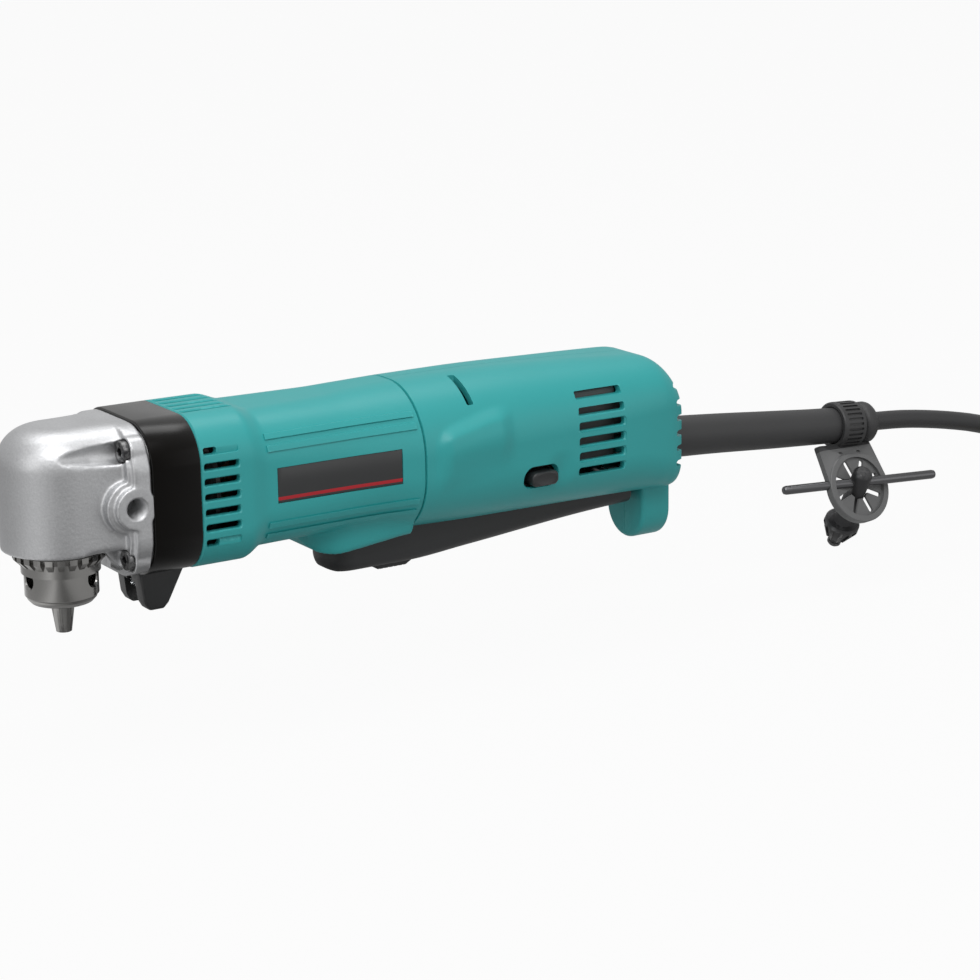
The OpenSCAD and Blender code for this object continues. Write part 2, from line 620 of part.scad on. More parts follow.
// Lamp with its two guarding legs below the band
module lamp_guard() color(black) difference() {
    side_plate(-lamp_w / 2, lamp_w / 2) polygon([[lamp_x0, -body_h / 2], [lamp_x0 + 1, lamp_low + 3],
        [lamp_x0 + 3, lamp_low], [lamp_x0 + 7.5, lamp_low], [lamp_x0 + 9, lamp_low + 1.5],
            [box_x - 0.5, -body_h / 2]]);
    span([lamp_x0 - 1, lamp_x0 + 9.5], [leg_t - lamp_w / 2, lamp_w / 2 - leg_t],
        [lamp_low - 1, -body_h / 2 - 5]);
    span([lamp_x0 + 9, box_x], [leg_t - lamp_w / 2, lamp_w / 2 - leg_t], [lamp_low - 1, -body_h / 2 - 8]);
    rod_x(lamp_x0 - 1, lamp_x0 + 6, diode_r + 0.2, 0, -body_h / 2 - 3.6);
}
module lamp_lens() color([0.85, 0.9, 0.92]) union() {
    span([lamp_x0 + 1.4, lamp_x0 + 9.1], [leg_t - lamp_w / 2 + 0.3, lamp_w / 2 - leg_t - 0.3],
        [-body_h / 2 - 8, -body_h / 2 - 6.6]);
    span([lamp_x0 + 1.4, lamp_x0 + 3], [leg_t - lamp_w / 2 + 0.3, lamp_w / 2 - leg_t - 0.3],
        [-body_h / 2 - 6.7, -body_h / 2 - 5.9]);
}
module lamp_diode() color([0.95, 0.93, 0.8]) union() {
    rod_x(lamp_x0 + 2, lamp_x0 + 5.9, diode_r, 0, -body_h / 2 - 3.6);
    translate([lamp_x0 + 2, 0, -body_h / 2 - 3.6]) sphere(diode_r);
}

// Motor housing
vent_edge = 1.2;
module collar_vents(u) for (i = [0:side_vents - 1]) let (z = (i - (side_vents - 1) / 2) * vent_pitch)
    span([box_x + vent_edge, box_x + vent_edge + vent_len], u > 0 ? [body_w / 2 - 12, body_w / 2 + 1]
        : [-body_w / 2 - 1, 12 - body_w / 2], [z - vent_h / 2, z + vent_h / 2]);
module motor_housing() color(teal) difference() {
    union() {
        loft(motor_sections);
        skirt();
    }
    difference() {
        prism_x(box_x - 1, chamber_end, body_w - 2 * wall, body_h - 2 * wall, body_r - wall);
        flange_screw_places() rod_x(box_x - 2, chamber_end + 1, screw_r + 2.4);
    }
    rod_x(chamber_end - e, seam_x - rear_wall_t, field_r + seat_gap);
    rod_x(seam_x - rear_wall_t - e, rear_bearing_x + motor_bearing_w, rear_bearing_r + seat_gap);
    rod_x(seam_x - rear_wall_t, seam_x + 1, rear_bearing_r - 2);
    for (a = [0:60:300]) rotate([a + 30, 0, 0])
        rod_x(seam_x - rear_wall_t - 1, seam_x + 1, 3.6, 0, field_r - 5);
    flange_screw_places() rod_x(box_x - 1, box_x + 10, screw_r + 0.1);
    for (u = [-1, 1]) collar_vents(u);
    for (k = [-2:2]) span([box_x + vent_edge, box_x + vent_edge + vent_len],
        [k * vent_pitch - vent_h / 2, k * vent_pitch + vent_h / 2],
        [body_h / 2 - 6, body_h / 2 + 1]);
    translate([0, 0, -60]) linear_extrude(60 - grip_low - 0.2) paddle_slot();
    span([plate_x - plate_len / 2 - e, plate_x + plate_len / 2 + e], [-40, plate_seat],
        [-plate_h / 2, plate_h / 2]);
}
// The slot for the paddle is round at its front, as the paddle is
module paddle_slot() {
    translate([slot_x + slot_half, 0]) circle(slot_half);
    translate([slot_x + slot_half, -slot_half]) square([seam_x - slot_x, 2 * slot_half]);
}
plate_seat = 1.2 - grip_w / 2;
plate_x = -2.9;
// The skirt is round in plan: distance behind its front, half width, bottom and lower corner radius
skirt_x = slot_x - 3.2;
skirt_shape = [[0, 5, grip_low + 2, 3], [1.5, 9.5, skirt_low - 2.5, 4], [4, 12.5, skirt_low - 0.8, 5],
    [9, 15.5, skirt_low, 5], [15, 17, skirt_low - 0.4, 5], [seam_x - skirt_x, 18, seam_low, 5]];
module skirt() skin([for (s = skirt_shape) section_ring([skirt_x + s[0], s[1], -14, s[2], 2, s[3]])]);
module name_plate() color(black) span([plate_x - plate_len / 2, plate_x + plate_len / 2],
    [plate_seat - 0.9, plate_seat],
    [-plate_h / 2, plate_h / 2]);

// Field, baffle and armature
module field_core() color(steel) difference() {
    rod_x(core_x, core_x + core_len, field_r);
    rod_x(core_x - 1, core_x + core_len + 1, armature_r + air_gap);
    both_sides() span([core_x - 1, core_x + core_len + 1], [armature_r + air_gap - 5, armature_r + 4.5],
        [-8, 8]);
}
module field_coils() color(copper) both_sides() difference() {
    span([core_x - 3, core_x + core_len + 3], [armature_r + air_gap + 0.6, armature_r + 4.2], [-7.6, 7.6]);
    rod_x(core_x - 4, core_x + core_len + 4, armature_r + air_gap + 0.6);
}
module air_baffle() color(black) difference() {
    rod_x(chamber_end + 0.2, chamber_end + baffle_t, field_r);
    rod_x(chamber_end - 1, chamber_end + baffle_t + 1, armature_r + 2);
}
pinion_len = spur_w + 1.6;
module motor_shaft() color(steel) union() {
    translate([spur_x - 0.8, 0, 0]) rotate([0, 90, 0]) linear_extrude(pinion_len)
        gear_outline(spur_m, spur_pinion_teeth, 0.8 * spur_m, 1.2 * spur_m);
    rod_x(spur_x - 0.8 + pinion_len - e, rear_bearing_x + motor_bearing_w, shaft_r);
}
module armature_core() color(steel) difference() {
    rod_x(core_x, core_x + core_len, armature_r);
    rod_x(core_x - 1, core_x + core_len + 1, shaft_r + seat_gap);
    for (a = [0:30:330]) rotate([a, 0, 0]) span([core_x - 1, core_x + core_len + 1], [-0.9, 0.9],
        [armature_r - 4, armature_r + 1]);
}
module armature_winding() color(copper) difference() {
    union() {
        rod_x(core_x - 3.4, core_x, armature_r - 1.5);
        rod_x(core_x + core_len, comm_x, comm_r);
    }
    rod_x(core_x - 9, comm_x + 9, shaft_r + seat_gap);
}
module commutator() color(copper) difference() {
    rod_x(comm_x, comm_x + comm_len, comm_r);
    rod_x(comm_x - 1, comm_x + comm_len + 1, shaft_r + seat_gap);
    for (a = [0:15:345]) rotate([a, 0, 0])
        span([comm_x + 1, comm_x + comm_len + 1], [-0.2, 0.2], [comm_r - 1, comm_r + 1]);
}
module cooling_fan() color(black) difference() {
    union() {
        rod_x(fan_x, fan_x + fan_w, 8);
        rod_x(fan_x, fan_x + 1.6, fan_r);
        for (i = [0:fan_blades - 1]) rotate([360 * i / fan_blades, 0, 0])
            span([fan_x, fan_x + fan_w], [-0.6, 0.6],
            [7, fan_r - 0.4]);
    }
    rod_x(fan_x - 1, fan_x + fan_w + 1, shaft_r + seat_gap);
}
module motor_front_bearing() color(steel) translate([front_bearing_x, 0, 0]) rotate([0, 90, 0])
    bearing(shaft_r + run_gap, front_bearing_r, motor_bearing_w);
module motor_rear_bearing() color(steel) translate([rear_bearing_x, 0, 0]) rotate([0, 90, 0])
    bearing(shaft_r + run_gap, rear_bearing_r, motor_bearing_w);
holder_out = sqrt(pow(field_r, 2) - pow(brush_h / 2 + 1.2, 2)) - 0.1;
module brush_holders() color(brass) both_sides() difference() {
    span([brush_x - brush_w / 2 - 1.2, brush_x + brush_w / 2 + 1.2], [comm_r + 1.2, holder_out],
        [-brush_h / 2 - 1.2, brush_h / 2 + 1.2]);
    span([brush_x - brush_w / 2 - 0.05, brush_x + brush_w / 2 + 0.05], [comm_r, holder_out - 1.2],
        [-brush_h / 2 - 0.05, brush_h / 2 + 0.05]);
}
module carbon_brushes() color(black) both_sides() difference() {
    span([brush_x - brush_w / 2, brush_x + brush_w / 2], [comm_r - 1, holder_out - 1.3],
        [-brush_h / 2, brush_h / 2]);
    rod_x(brush_x - 9, brush_x + 9, comm_r + 0.2);
}

// Rear housing in two halves
module rear_edge_slots() for (i = [0:edge_slots - 1]) let (z = 12 - i * 5.8)
    both_sides() span([rear_x - 7, rear_x + 1], [-40, -13], [z - 1.1, z + 1.1]);
module screw_bosses(y0, y1, r) for (b = boss_at) rod_y(y0, y1, r, b[0], b[1]);
module rear_shell() difference() {
    union() {
        difference() {
            loft(rear_sections(0));
            loft(rear_sections(wall));
        }
        intersection() {
            loft(rear_sections(0.2));
            union() {
                screw_bosses(-40, 40, 3.6);
                rod_y(-40, 40, pin_r + 2.6, pivot_x, pivot_z);
                both_sides() span([switch_x + 4, switch_x + switch_len - 4], [-40, -switch_w / 2 - 0.1],
                    [-8, -3]);
                both_sides() span([reverse_x - reverse_len / 2 - 3, reverse_x + reverse_len / 2 + 3],
                    [-40, 8 - reverse_side], [reverse_z - reverse_h / 2 - 3, reverse_z + reverse_h / 2 + 3]);
                span([foot_x, guard_plate_x - 0.2], [5, 40], [guard_z - 12, guard_z - 6.2]);
            }
        }
        rear_foot();
    }
    screw_bosses(-13, 41, 1.5);
    screw_bosses(19, 60, 3.2);
    rod_y(-paddle_w / 2 - 4, paddle_w / 2 + 4, pin_r + seat_gap, pivot_x, pivot_z);
    span([seam_x - 1, foot_x], [-slot_half, slot_half], [-60, -seam_low + wall + 0.6]);
    span([pivot_x - 5, foot_x], [-slot_half, slot_half], [-60, pivot_z + 6.5]);
    both_sides() for (i = [0:rear_vents - 1]) let (z = (i - (rear_vents - 1) / 2) * rear_vent_pitch + 0.8)
        span([rear_vent_x, rear_vent_x + rear_vent_len], [-40, -15],
            [z - rear_vent_h / 2, z + rear_vent_h / 2]);
    rear_edge_slots();
    rod_x(rear_x - 20, rear_x + 1, guard_root_r + 0.3, 0, guard_z);
    span([reverse_x - reverse_len / 2 - slide_gap, reverse_x + reverse_len / 2 + slide_gap], [-60, 60],
        [reverse_z - reverse_h / 2 - slide_gap, reverse_z + reverse_h / 2 + slide_gap]);
    span([top_slot_x, top_slot_x + top_slot_w], [-22.4, -8.7], [16, 40]);
    translate([clamp_x, clamp_screw_y, guard_z - 10]) cylinder(h = 5, r = 1.25);
}
module rear_foot() difference() {
    translate([foot_x, 0, 0]) rotate([90, 0, 90]) linear_extrude(foot_len) {
        translate([-foot_w / 2, foot_w / 2 - foot_low])
            square([foot_w, foot_low - foot_w / 2 - seam_low + 4]);
        translate([0, foot_w / 2 - foot_low]) circle(foot_w / 2);
    }
    loft(rear_sections(wall));
}
module rear_housing_left() color(teal) intersection() {
    rear_shell();
    span([seam_x - 1, rear_x + 5], [-50, 0], [-60, 40]);
}
module rear_housing_right() color(teal) intersection() {
    rear_shell();
    span([seam_x - 1, rear_x + 5], [0, 50], [-60, 40]);
}
module rear_housing_screws() color(steel) for (b = boss_at) {
    rod_y(-12, 19.1, 1.4, b[0], b[1]);
    rod_y(19, 21.6, 2.9, b[0], b[1]);
}

// Paddle switch
module switch_body() color(black) difference() {
    span([switch_x, switch_x + switch_len], [-switch_w / 2, switch_w / 2], [switch_low, switch_top]);
    translate([plunger_x, 0, switch_low - 1]) cylinder(h = 8, r = plunger_r + 0.15);
}
module switch_plunger() color(black) translate([plunger_x, 0, plunger_low])
    cylinder(h = switch_low + 2 - plunger_low, r = plunger_r);
module reversing_slide() color(black) span([reverse_x - reverse_len / 2, reverse_x + reverse_len / 2],
    [-reverse_side - reverse_stand, reverse_side - 2.5],
        [reverse_z - reverse_h / 2, reverse_z + reverse_h / 2]);
paddle_top = pivot_z + pin_r + 2.5;
paddle_end = pivot_x + 5.5;
paddle_mid = -seam_low - 1;
// Under side of the paddle from front to rear, and the same line raised by the floor's thickness
function paddle_under(up) = [[paddle_x + 5, up - paddle_low], [34, up - paddle_low],
    [60, up - paddle_low + 1.9],
    [pivot_x - 16, up - paddle_low + 6.2], [paddle_end, up - paddle_low + 7.4]];
paddle_side = concat([[paddle_x, -skirt_low + 0.4], [paddle_x, -37]], paddle_under(0),
    [[paddle_end, paddle_top], [pivot_x - 5, paddle_top], [pivot_x - 9, paddle_mid], [55, paddle_mid - 1.4],
    [20, -skirt_low + 0.4]]);
module paddle() color(black) difference() {
    intersection() {
        side_plate(-paddle_w / 2, paddle_w / 2) polygon(paddle_side);
        translate([0, 0, -60]) linear_extrude(60) union() {
            translate([paddle_x + paddle_w / 2, 0]) circle(paddle_w / 2);
            translate([paddle_x + paddle_w / 2, -paddle_w / 2]) square([pivot_x, paddle_w]);
        }
    }
    difference() {
        side_plate(paddle_wall - paddle_w / 2, paddle_w / 2 - paddle_wall)
            polygon(concat([[paddle_x + 8, -10],
            [paddle_x + 8, -36]], [for (p = paddle_under(paddle_wall)) p + (p[1] == paddle_wall - paddle_low
            && p[0] < 20 ? [5, 0] : [0, 0])],
                [[paddle_end + 1, 7.4 + paddle_wall - paddle_low], [paddle_end + 1, -10]]));
        span([plunger_x - 4, plunger_x + 4], [-4, 4], [-60, plunger_low - 0.3]);
        both_sides() span([lock_x + 2, lock_x + 9], [-paddle_w / 2, -lock_w / 2 - 0.4], [-60, lock_z + 3.5]);
        translate([spring_x, 0, -60]) cylinder(h = 60 - paddle_low + paddle_wall + 2, r = 2.2);
    }
    rod_y(-20, 20, pin_r + run_gap, pivot_x, pivot_z);
    rod_y(-lock_w / 2 - 6, lock_w / 2 + 6, 1 + seat_gap, lock_x + 5.5, lock_z);
    span([lock_x - 9, lock_x + 11], [-lock_w / 2 - 0.4, lock_w / 2 + 0.4], [-60, -30]);
}
module paddle_pin() color(steel) rod_y(-paddle_w / 2 - 3.8, paddle_w / 2 + 3.8, pin_r, pivot_x, pivot_z);
module paddle_spring() color(steel) translate([spring_x, 0, paddle_wall - paddle_low + 0.1]) difference() {
    cylinder(h = paddle_low - paddle_wall - grip_low - 0.3, r = 4);
    translate([0, 0, -1]) cylinder(h = 40, r = 2.9);
}
module lock_lever() color(black) difference() {
    side_plate(-lock_w / 2, lock_w / 2) difference() {
        polygon([[lock_x - 7, -paddle_low + 1], [lock_x - 5, -paddle_low - 2.2],
            [lock_x + 3, -paddle_low - 2.2],
            [lock_x + 8, lock_z - 1], [lock_x + 8, lock_z + 2.4], [lock_x + 2, lock_z + 2.4],
                [lock_x - 2, -33.5],
            [lock_x - 5, -33.5], [lock_x - 4, -38]]);
        for (k = [0:3]) translate([lock_x - 4.2 + 2 * k, -paddle_low - 2.4]) rotate(45)
            square(1, center = true);
    }
    rod_y(-20, 20, 1 + run_gap, lock_x + 5.5, lock_z);
}
module lock_pin() color(steel) rod_y(-lock_w / 2 - 5, lock_w / 2 + 5, 1, lock_x + 5.5, lock_z);

// Cord clamp, cord guard and key holder
guard_plate_x = rear_x - 8.3;
clamp_x = (foot_x + guard_plate_x) / 2;
clamp_half = (guard_plate_x - foot_x) / 2 - 0.3;
clamp_screw_y = 9.6;
module cord_clamp() color(black) difference() {
    span([clamp_x - clamp_half, clamp_x + clamp_half], [-9, 13], [guard_z - 6.1, guard_z - 3.9]);
    translate([clamp_x, clamp_screw_y, -40]) cylinder(h = 40, r = 1.3);
}
module cord_clamp_screw() color(steel) translate([clamp_x, clamp_screw_y, 0]) {
    translate([0, 0, guard_z - 9.8]) cylinder(h = 6, r = 1.2);
    translate([0, 0, guard_z - 3.9]) cylinder(h = 1.8, r = 2.4);
}
module cord_guard() color(rubber) union() {
    tube(guard_route, guard_radii, 16, [1, 0, -0.05], [1, 0, -0.05]);
    translate([bead_x, 0, bead_z]) rotate([0, 90 + bead_lean, 0]) rotate_extrude()
        polygon([[0, -0.8], [guard_end_r + 0.3, -0.8],
        [guard_end_r + 1.3, 1.2], [guard_end_r + 1.3, 3.6], [guard_end_r - 1.5, bead_len], [0, bead_len]]);
    span([guard_plate_x, rear_x - 6.4], [-9, 9], [guard_z - 8, guard_z + 9]);
}
module holder_frame() translate([collar_x, 0, collar_z]) rotate([0, collar_lean, 0])
    rotate([-flap_swing, 0, 0]) children();
module key_holder() color(rubber) holder_frame() difference() {
    union() {
        rod_x(0, collar_len_k, collar_out);
        side_plate(-holder_t / 2, holder_t / 2) union() {
            translate([collar_len_k / 2, -disc_drop]) circle(holder_r);
            polygon([[-9, -collar_in - 1], [collar_len_k + 3, -collar_in - 1],
                [collar_len_k / 2 + holder_r - 1, -disc_drop + 5],
                    [collar_len_k / 2 - holder_r + 1, -disc_drop + 5]]);
        }
    }
    rod_x(-1, collar_len_k + 1, collar_in);
    rod_y(-5, 5, key_r + 1.9, collar_len_k / 2, -disc_drop);
    for (a = [0:45:315]) translate([collar_len_k / 2, 0, -disc_drop]) rotate([0, a, 0])
        span([0, holder_r - 3], [-5, 5], [-0.6, 0.6]);
}

// Chuck key, drawn upright about its own axis and set in the holder
disc_at = [collar_x + cos(collar_lean) * collar_len_k / 2 - sin(collar_lean) * disc_drop * cos(flap_swing),
    -disc_drop * sin(flap_swing),
    collar_z - sin(collar_lean) * collar_len_k / 2 - cos(collar_lean) * disc_drop * cos(flap_swing)];
module key_frame() translate(disc_at) rotate([0, 0, key_yaw]) rotate([key_lean, 0, 0])
    translate([0, 0, key_stand]) children();
module chuck_key() color(steel) key_frame() difference() {
    union() {
        translate([0, 0, -26]) cylinder(h = 31, r = key_r);
        translate([0, 0, 5 - e]) cylinder(h = 1.5, r1 = key_r, r2 = key_r - 1.5);
        difference() {
            rotate_extrude() polygon([[0, -23], [7, -23], [7.4, -26], [4.6, -32.5], [0, -32.5]]);
            for (i = [0:10]) rotate(360 * i / 11) translate([6.6, 0, -29]) rotate([0, -23, 0])
                cube([4, 1.9, 10], center = true);
        }
        translate([0, 0, -key_len + 7]) cylinder(h = 10, r = key_hole_r - 0.15);
    }
    rotate([0, 90, 0]) translate([0, 0, -20]) cylinder(h = 40, r = key_bar_r + seat_gap);
}
module key_bar() color(steel) key_frame() rotate([0, 90, 0]) translate([0, 0, -key_bar_len / 2])
    cylinder(h = key_bar_len, r = key_bar_r);

// Cord, its hank with a tie, and the plug
module cord() color(black) tube(cord_route, [for (p = cord_route) cord_d / 2], 10,
    [cos(bead_lean), 0, -sin(bead_lean)], [1, 0, 0]);
function hank_plan(k) =
    k <= 4 ? [hank_half * (k / 2 - 1), hank_r]
    : k <= 12 ? [hank_half + hank_r * sin(22.5 * (k - 4)), hank_r * cos(22.5 * (k - 4))]
    : k <= 16 ? [hank_half * (1 - (k - 12) / 2), -hank_r]
    : [-hank_half - hank_r * sin(22.5 * (k - 16)), -hank_r * cos(22.5 * (k - 16))];
function hank_place(i) = let (
    k = i % hank_steps,
    plan = hank_plan(k),
    level = floor(i / hank_steps) + min(1, max(0, (k - 18) / 4)))
    [hank_x + plan[0], plan[1], hank_top - hank_pitch * level];
hank_last = hank_turns * hank_steps + 16;
hank_end = hank_place(hank_last);
hank_path = concat([hank_start], [for (i = [0:hank_last]) hank_place(i)], [hank_end - [hank_lead, 0, 0]]);
function near_gap() = min([for (i = [0:hank_last - hank_steps + 4])
    min([for (j = [i + hank_steps - 4:hank_last])
    norm(hank_place(i) - hank_place(j))])]) - cord_d;
module cord_coil() color(black) tube(hank_path, [for (p = hank_path) cord_d / 2], 6, [1, 0, 0], [-1, 0, 0]);
echo(hank_least_gap = near_gap());
tie_w = 10;
tie_t = 1.1;
module coil_tie() color(rubber) difference() {
    half = cord_d / 2 + 0.5;
    top = hank_top + cord_d / 2 + 0.4;
    span([hank_x - tie_w / 2, hank_x + tie_w / 2], [hank_r - half - tie_t, hank_r + half + tie_t],
        [-floor_drop, top + tie_t]);
    span([hank_x - tie_w, hank_x + tie_w], [hank_r - half, hank_r + half], [-floor_drop + tie_t, top]);
}
plug_x = hank_end[0] - hank_lead;
plug_h = 2 * (hank_end_z + floor_drop);
neck_len = 15;
plug_len = 24;
contact_len = 17;
contact_r = 2.3;
module plug_body() color(black) translate([plug_x, hank_end[1], hank_end_z]) rotate([0, -90, 0]) union() {
    cylinder(h = neck_len, r1 = plug_h / 2 - 0.3, r2 = plug_h / 2 - 0.1);
    translate([0, 0, neck_len - e]) linear_extrude(plug_len) rounded(plug_h, 30, plug_h / 2 - 0.3);
}
module plug_pins() color(brass) for (v = [-9.5, 9.5])
    translate([plug_x - neck_len - plug_len, hank_end[1] + v, hank_end_z]) rotate([0, -90, 0]) {
        cylinder(h = contact_len, r = contact_r);
        translate([0, 0, contact_len - e]) cylinder(h = 1.6, r1 = contact_r, r2 = contact_r - 1.1);
    }

gear_housing();
gear_housing_screws();
spindle();
bevel_gear();
spindle_lower_bearing();
spindle_upper_bearing();
bearing_retainer();
chuck_body();
chuck_ring();
chuck_nut();
chuck_jaw_1();
chuck_jaw_2();
chuck_jaw_3();
countershaft();
reduction_gear();
countershaft_front_bearing();
countershaft_rear_bearing();
bearing_box();
housing_band();
lamp_guard();
lamp_lens();
lamp_diode();
motor_housing();
name_plate();
field_core();
field_coils();
air_baffle();
motor_shaft();
armature_core();
armature_winding();
commutator();
cooling_fan();
motor_front_bearing();
motor_rear_bearing();
brush_holders();
carbon_brushes();
rear_housing_left();
rear_housing_right();
rear_housing_screws();
switch_body();
switch_plunger();
reversing_slide();
paddle();
paddle_pin();
paddle_spring();
lock_lever();
lock_pin();
cord_clamp();
cord_clamp_screw();
cord_guard();
key_holder();
chuck_key();
key_bar();
cord();
cord_coil();
coil_tie();
plug_body();
plug_pins();
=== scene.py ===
# A corded right angle drill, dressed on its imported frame.
# Sizes are in millimetres until a piece is finished: +Z up, +X to the rear, origin on the motor axis.
import json
import math

import bmesh
import bpy
import numpy as np
from mathutils import Matrix, Vector


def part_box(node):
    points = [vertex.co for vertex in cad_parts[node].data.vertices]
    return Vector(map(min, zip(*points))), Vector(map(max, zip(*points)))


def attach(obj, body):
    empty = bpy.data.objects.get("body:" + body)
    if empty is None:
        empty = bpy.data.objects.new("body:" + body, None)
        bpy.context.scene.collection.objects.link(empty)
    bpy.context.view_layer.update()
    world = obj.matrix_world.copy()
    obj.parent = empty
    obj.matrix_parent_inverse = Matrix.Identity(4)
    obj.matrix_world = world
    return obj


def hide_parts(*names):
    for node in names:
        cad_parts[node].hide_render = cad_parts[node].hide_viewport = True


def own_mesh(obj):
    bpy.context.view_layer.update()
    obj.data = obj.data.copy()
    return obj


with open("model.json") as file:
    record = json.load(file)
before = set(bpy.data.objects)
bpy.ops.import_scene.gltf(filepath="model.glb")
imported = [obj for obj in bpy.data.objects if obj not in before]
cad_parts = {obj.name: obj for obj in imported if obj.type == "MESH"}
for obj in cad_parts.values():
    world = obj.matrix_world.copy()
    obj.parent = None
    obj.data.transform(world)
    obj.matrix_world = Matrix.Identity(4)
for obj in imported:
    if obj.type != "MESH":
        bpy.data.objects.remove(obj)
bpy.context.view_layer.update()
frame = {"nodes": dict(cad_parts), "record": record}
scene = bpy.context.scene
MM = 0.001

# Left and right of the middle plane, or below and above it
SIDES = (-1, 1)

# Places along the tool
SPINDLE_X = -98.0
FLANGE_FRONT, FLANGE_BACK = -81.6, -75.0
BAND_END = -57.0
COLLAR_END = -38.5
SEAM_X = 31.0
REAR_X = 147.0
FLOOR_Z = -80.0

# Band and collar
BODY_HALF_W, BODY_HALF_H, BODY_R = 27.5, 27.0, 16.0
WALL = 2.8
SCREW_Y, SCREW_Z, SCREW_SEAT = 20.3, 18.8, -80.4
FLANGE_SCREWS = [(u * SCREW_Y, v * SCREW_Z) for u in SIDES for v in SIDES]
HANDLE_X, HANDLE_FACE, HANDLE_BOSS_R = -81.0, 27.0, 7.4

# Cord and its guard
CORD_D = 7.6
CORD_EXIT = (257.992, 0.0, -21.104)
GUARD_Z = -12.7


# Numbers, outlines and solids
def steady(stations, x):
    """Reads a table of stations at x on smooth curves that never overshoot a station."""
    table = np.array(stations, float)
    xs, ys = table[:, 0], table[:, 1:]
    step = np.diff(xs)[:, None]
    rise = np.diff(ys, axis=0) / step
    slope = np.zeros_like(ys)
    slope[0], slope[-1] = rise[0], rise[-1]
    for i in range(1, len(xs) - 1):
        a, b = 2 * step[i] + step[i - 1], step[i] + 2 * step[i - 1]
        same = rise[i - 1] * rise[i] > 0
        before, after = np.where(same, rise[i - 1], 1), np.where(same, rise[i], 1)
        slope[i] = np.where(same, (a + b) / (a / before + b / after), 0)
    i = int(np.clip(np.searchsorted(xs, x) - 1, 0, len(xs) - 2))
    h = float(step[i][0])
    t = float(np.clip((x - xs[i]) / h, 0, 1))
    s = 1 - t
    return (ys[i] * (1 + 2 * t) * s * s + slope[i] * h * t * s * s
            + ys[i + 1] * t * t * (3 - 2 * t) - slope[i + 1] * h * t * t * s)


def ease(a, b, x):
    """Goes smoothly from 0 at a to 1 at b."""
    t = np.clip((x - a) / (b - a), 0, 1)
    return t * t * (3 - 2 * t)


def soft_min(a, b, k):
    h = np.clip(0.5 + 0.5 * (b - a) / k, 0, 1)
    return b * (1 - h) + a * h - k * h * (1 - h)


def soft_max(a, b, k):
    return -soft_min(-a, -b, k)


def arc(cx, cy, r, a0, a1, steps):
    """Points on an arc, in degrees, without its last point."""
    turn = np.radians(np.linspace(a0, a1, steps, endpoint=False))
    return [(cx + r * math.cos(a), cy + r * math.sin(a)) for a in turn]


def ring_line(p, q, steps):
    return [(p[0] + (q[0] - p[0]) * k / steps, p[1] + (q[1] - p[1]) * k / steps) for k in range(steps)]


def housing_section(half_w, top, low, r_up, r_low, n_arc=30, n_side=36, n_flat=14):
    """One cross section in Y and Z: two upper and two lower rounded corners, with flats between."""
    up_y, up_z = half_w - r_up, top - r_up
    low_y, low_z = half_w - r_low, r_low - low
    return (ring_line((half_w, low_z), (half_w, up_z), n_side) + arc(up_y, up_z, r_up, 0, 90, n_arc)
            + ring_line((up_y, top), (-up_y, top), n_flat) + arc(-up_y, up_z, r_up, 90, 180, n_arc)
            + ring_line((-half_w, up_z), (-half_w, low_z), n_side)
            + arc(-low_y, low_z, r_low, 180, 270, n_arc)
            + ring_line((-low_y, -low), (low_y, -low), n_flat) + arc(low_y, low_z, r_low, 270, 360, n_arc))


def rounded_box(half_w, half_h, r, steps=8):
    """An oblong with round corners about the origin."""
    y, z = half_w - r, half_h - r
    return (arc(y, z, r, 0, 90, steps) + arc(-y, z, r, 90, 180, steps)
            + arc(-y, -z, r, 180, 270, steps) + arc(y, -z, r, 270, 360, steps))


def circle(r, steps=64, at=(0, 0)):
    return arc(at[0], at[1], r, 0, 360, steps)


def shifted(outline, dx, dy):
    return [(p[0] + dx, p[1] + dy) for p in outline]


def fillet(corners, steps=6):
    """Rounds the corners (x, y, radius) of an outline."""
    out = []
    for i, (x, y, r) in enumerate(corners):
        here = Vector((x, y))
        back = Vector(corners[i - 1][:2]) - here
        on = Vector(corners[(i + 1) % len(corners)][:2]) - here
        half = back.angle(on) / 2
        if r <= 0 or abs(half - math.pi / 2) < 0.01:
            out.append((x, y))
            continue
        reach = min(r / math.tan(half), back.length * 0.49, on.length * 0.49)
        r = reach * math.tan(half)
        middle = here + (back.normalized() + on.normalized()).normalized() * (r / math.sin(half))
        a = here + back.normalized() * reach - middle
        b = here + on.normalized() * reach - middle
        turn = a.angle_signed(b)
        for k in range(steps + 1):
            p = middle + Matrix.Rotation(-turn * k / steps, 2) @ a
            out.append((p.x, p.y))
    return out


def shape(points, faces):
    """A loose solid in millimetres, with its faces turned outwards."""
    mesh = bpy.data.meshes.new("shape")
    mesh.from_pydata([tuple(p) for p in points], [], [tuple(f) for f in faces])
    solid = bpy.data.objects.new("shape", mesh)
    scene.collection.objects.link(solid)
    return outward(solid)


def outward(solid, gap=1e-4):
    bm = bmesh.new()
    bm.from_mesh(solid.data)
    bmesh.ops.remove_doubles(bm, verts=bm.verts, dist=gap)
    bmesh.ops.dissolve_degenerate(bm, edges=bm.edges, dist=gap)
    bmesh.ops.recalc_face_normals(bm, faces=bm.faces)
    bm.to_mesh(solid.data)
    bm.free()
    return solid


def skin(rings, round_trip=False):
    """Joins rings of as many points each into a closed solid, or into a closed loop of rings."""
    n, count = len(rings[0]), len(rings)
    points = [p for ring in rings for p in ring]
    last = count if round_trip else count - 1
    faces = [(i * n + k, i * n + (k + 1) % n, (i + 1) % count * n + (k + 1) % n, (i + 1) % count * n + k)
             for i in range(last) for k in range(n)]
    if not round_trip:
        faces += [tuple(range(n)), tuple((count - 1) * n + k for k in range(n))]
    return shape(points, faces)


AXES = {"x": lambda u, v, w: (w, u, v), "y": lambda u, v, w: (u, w, v), "z": lambda u, v, w: (u, v, w)}


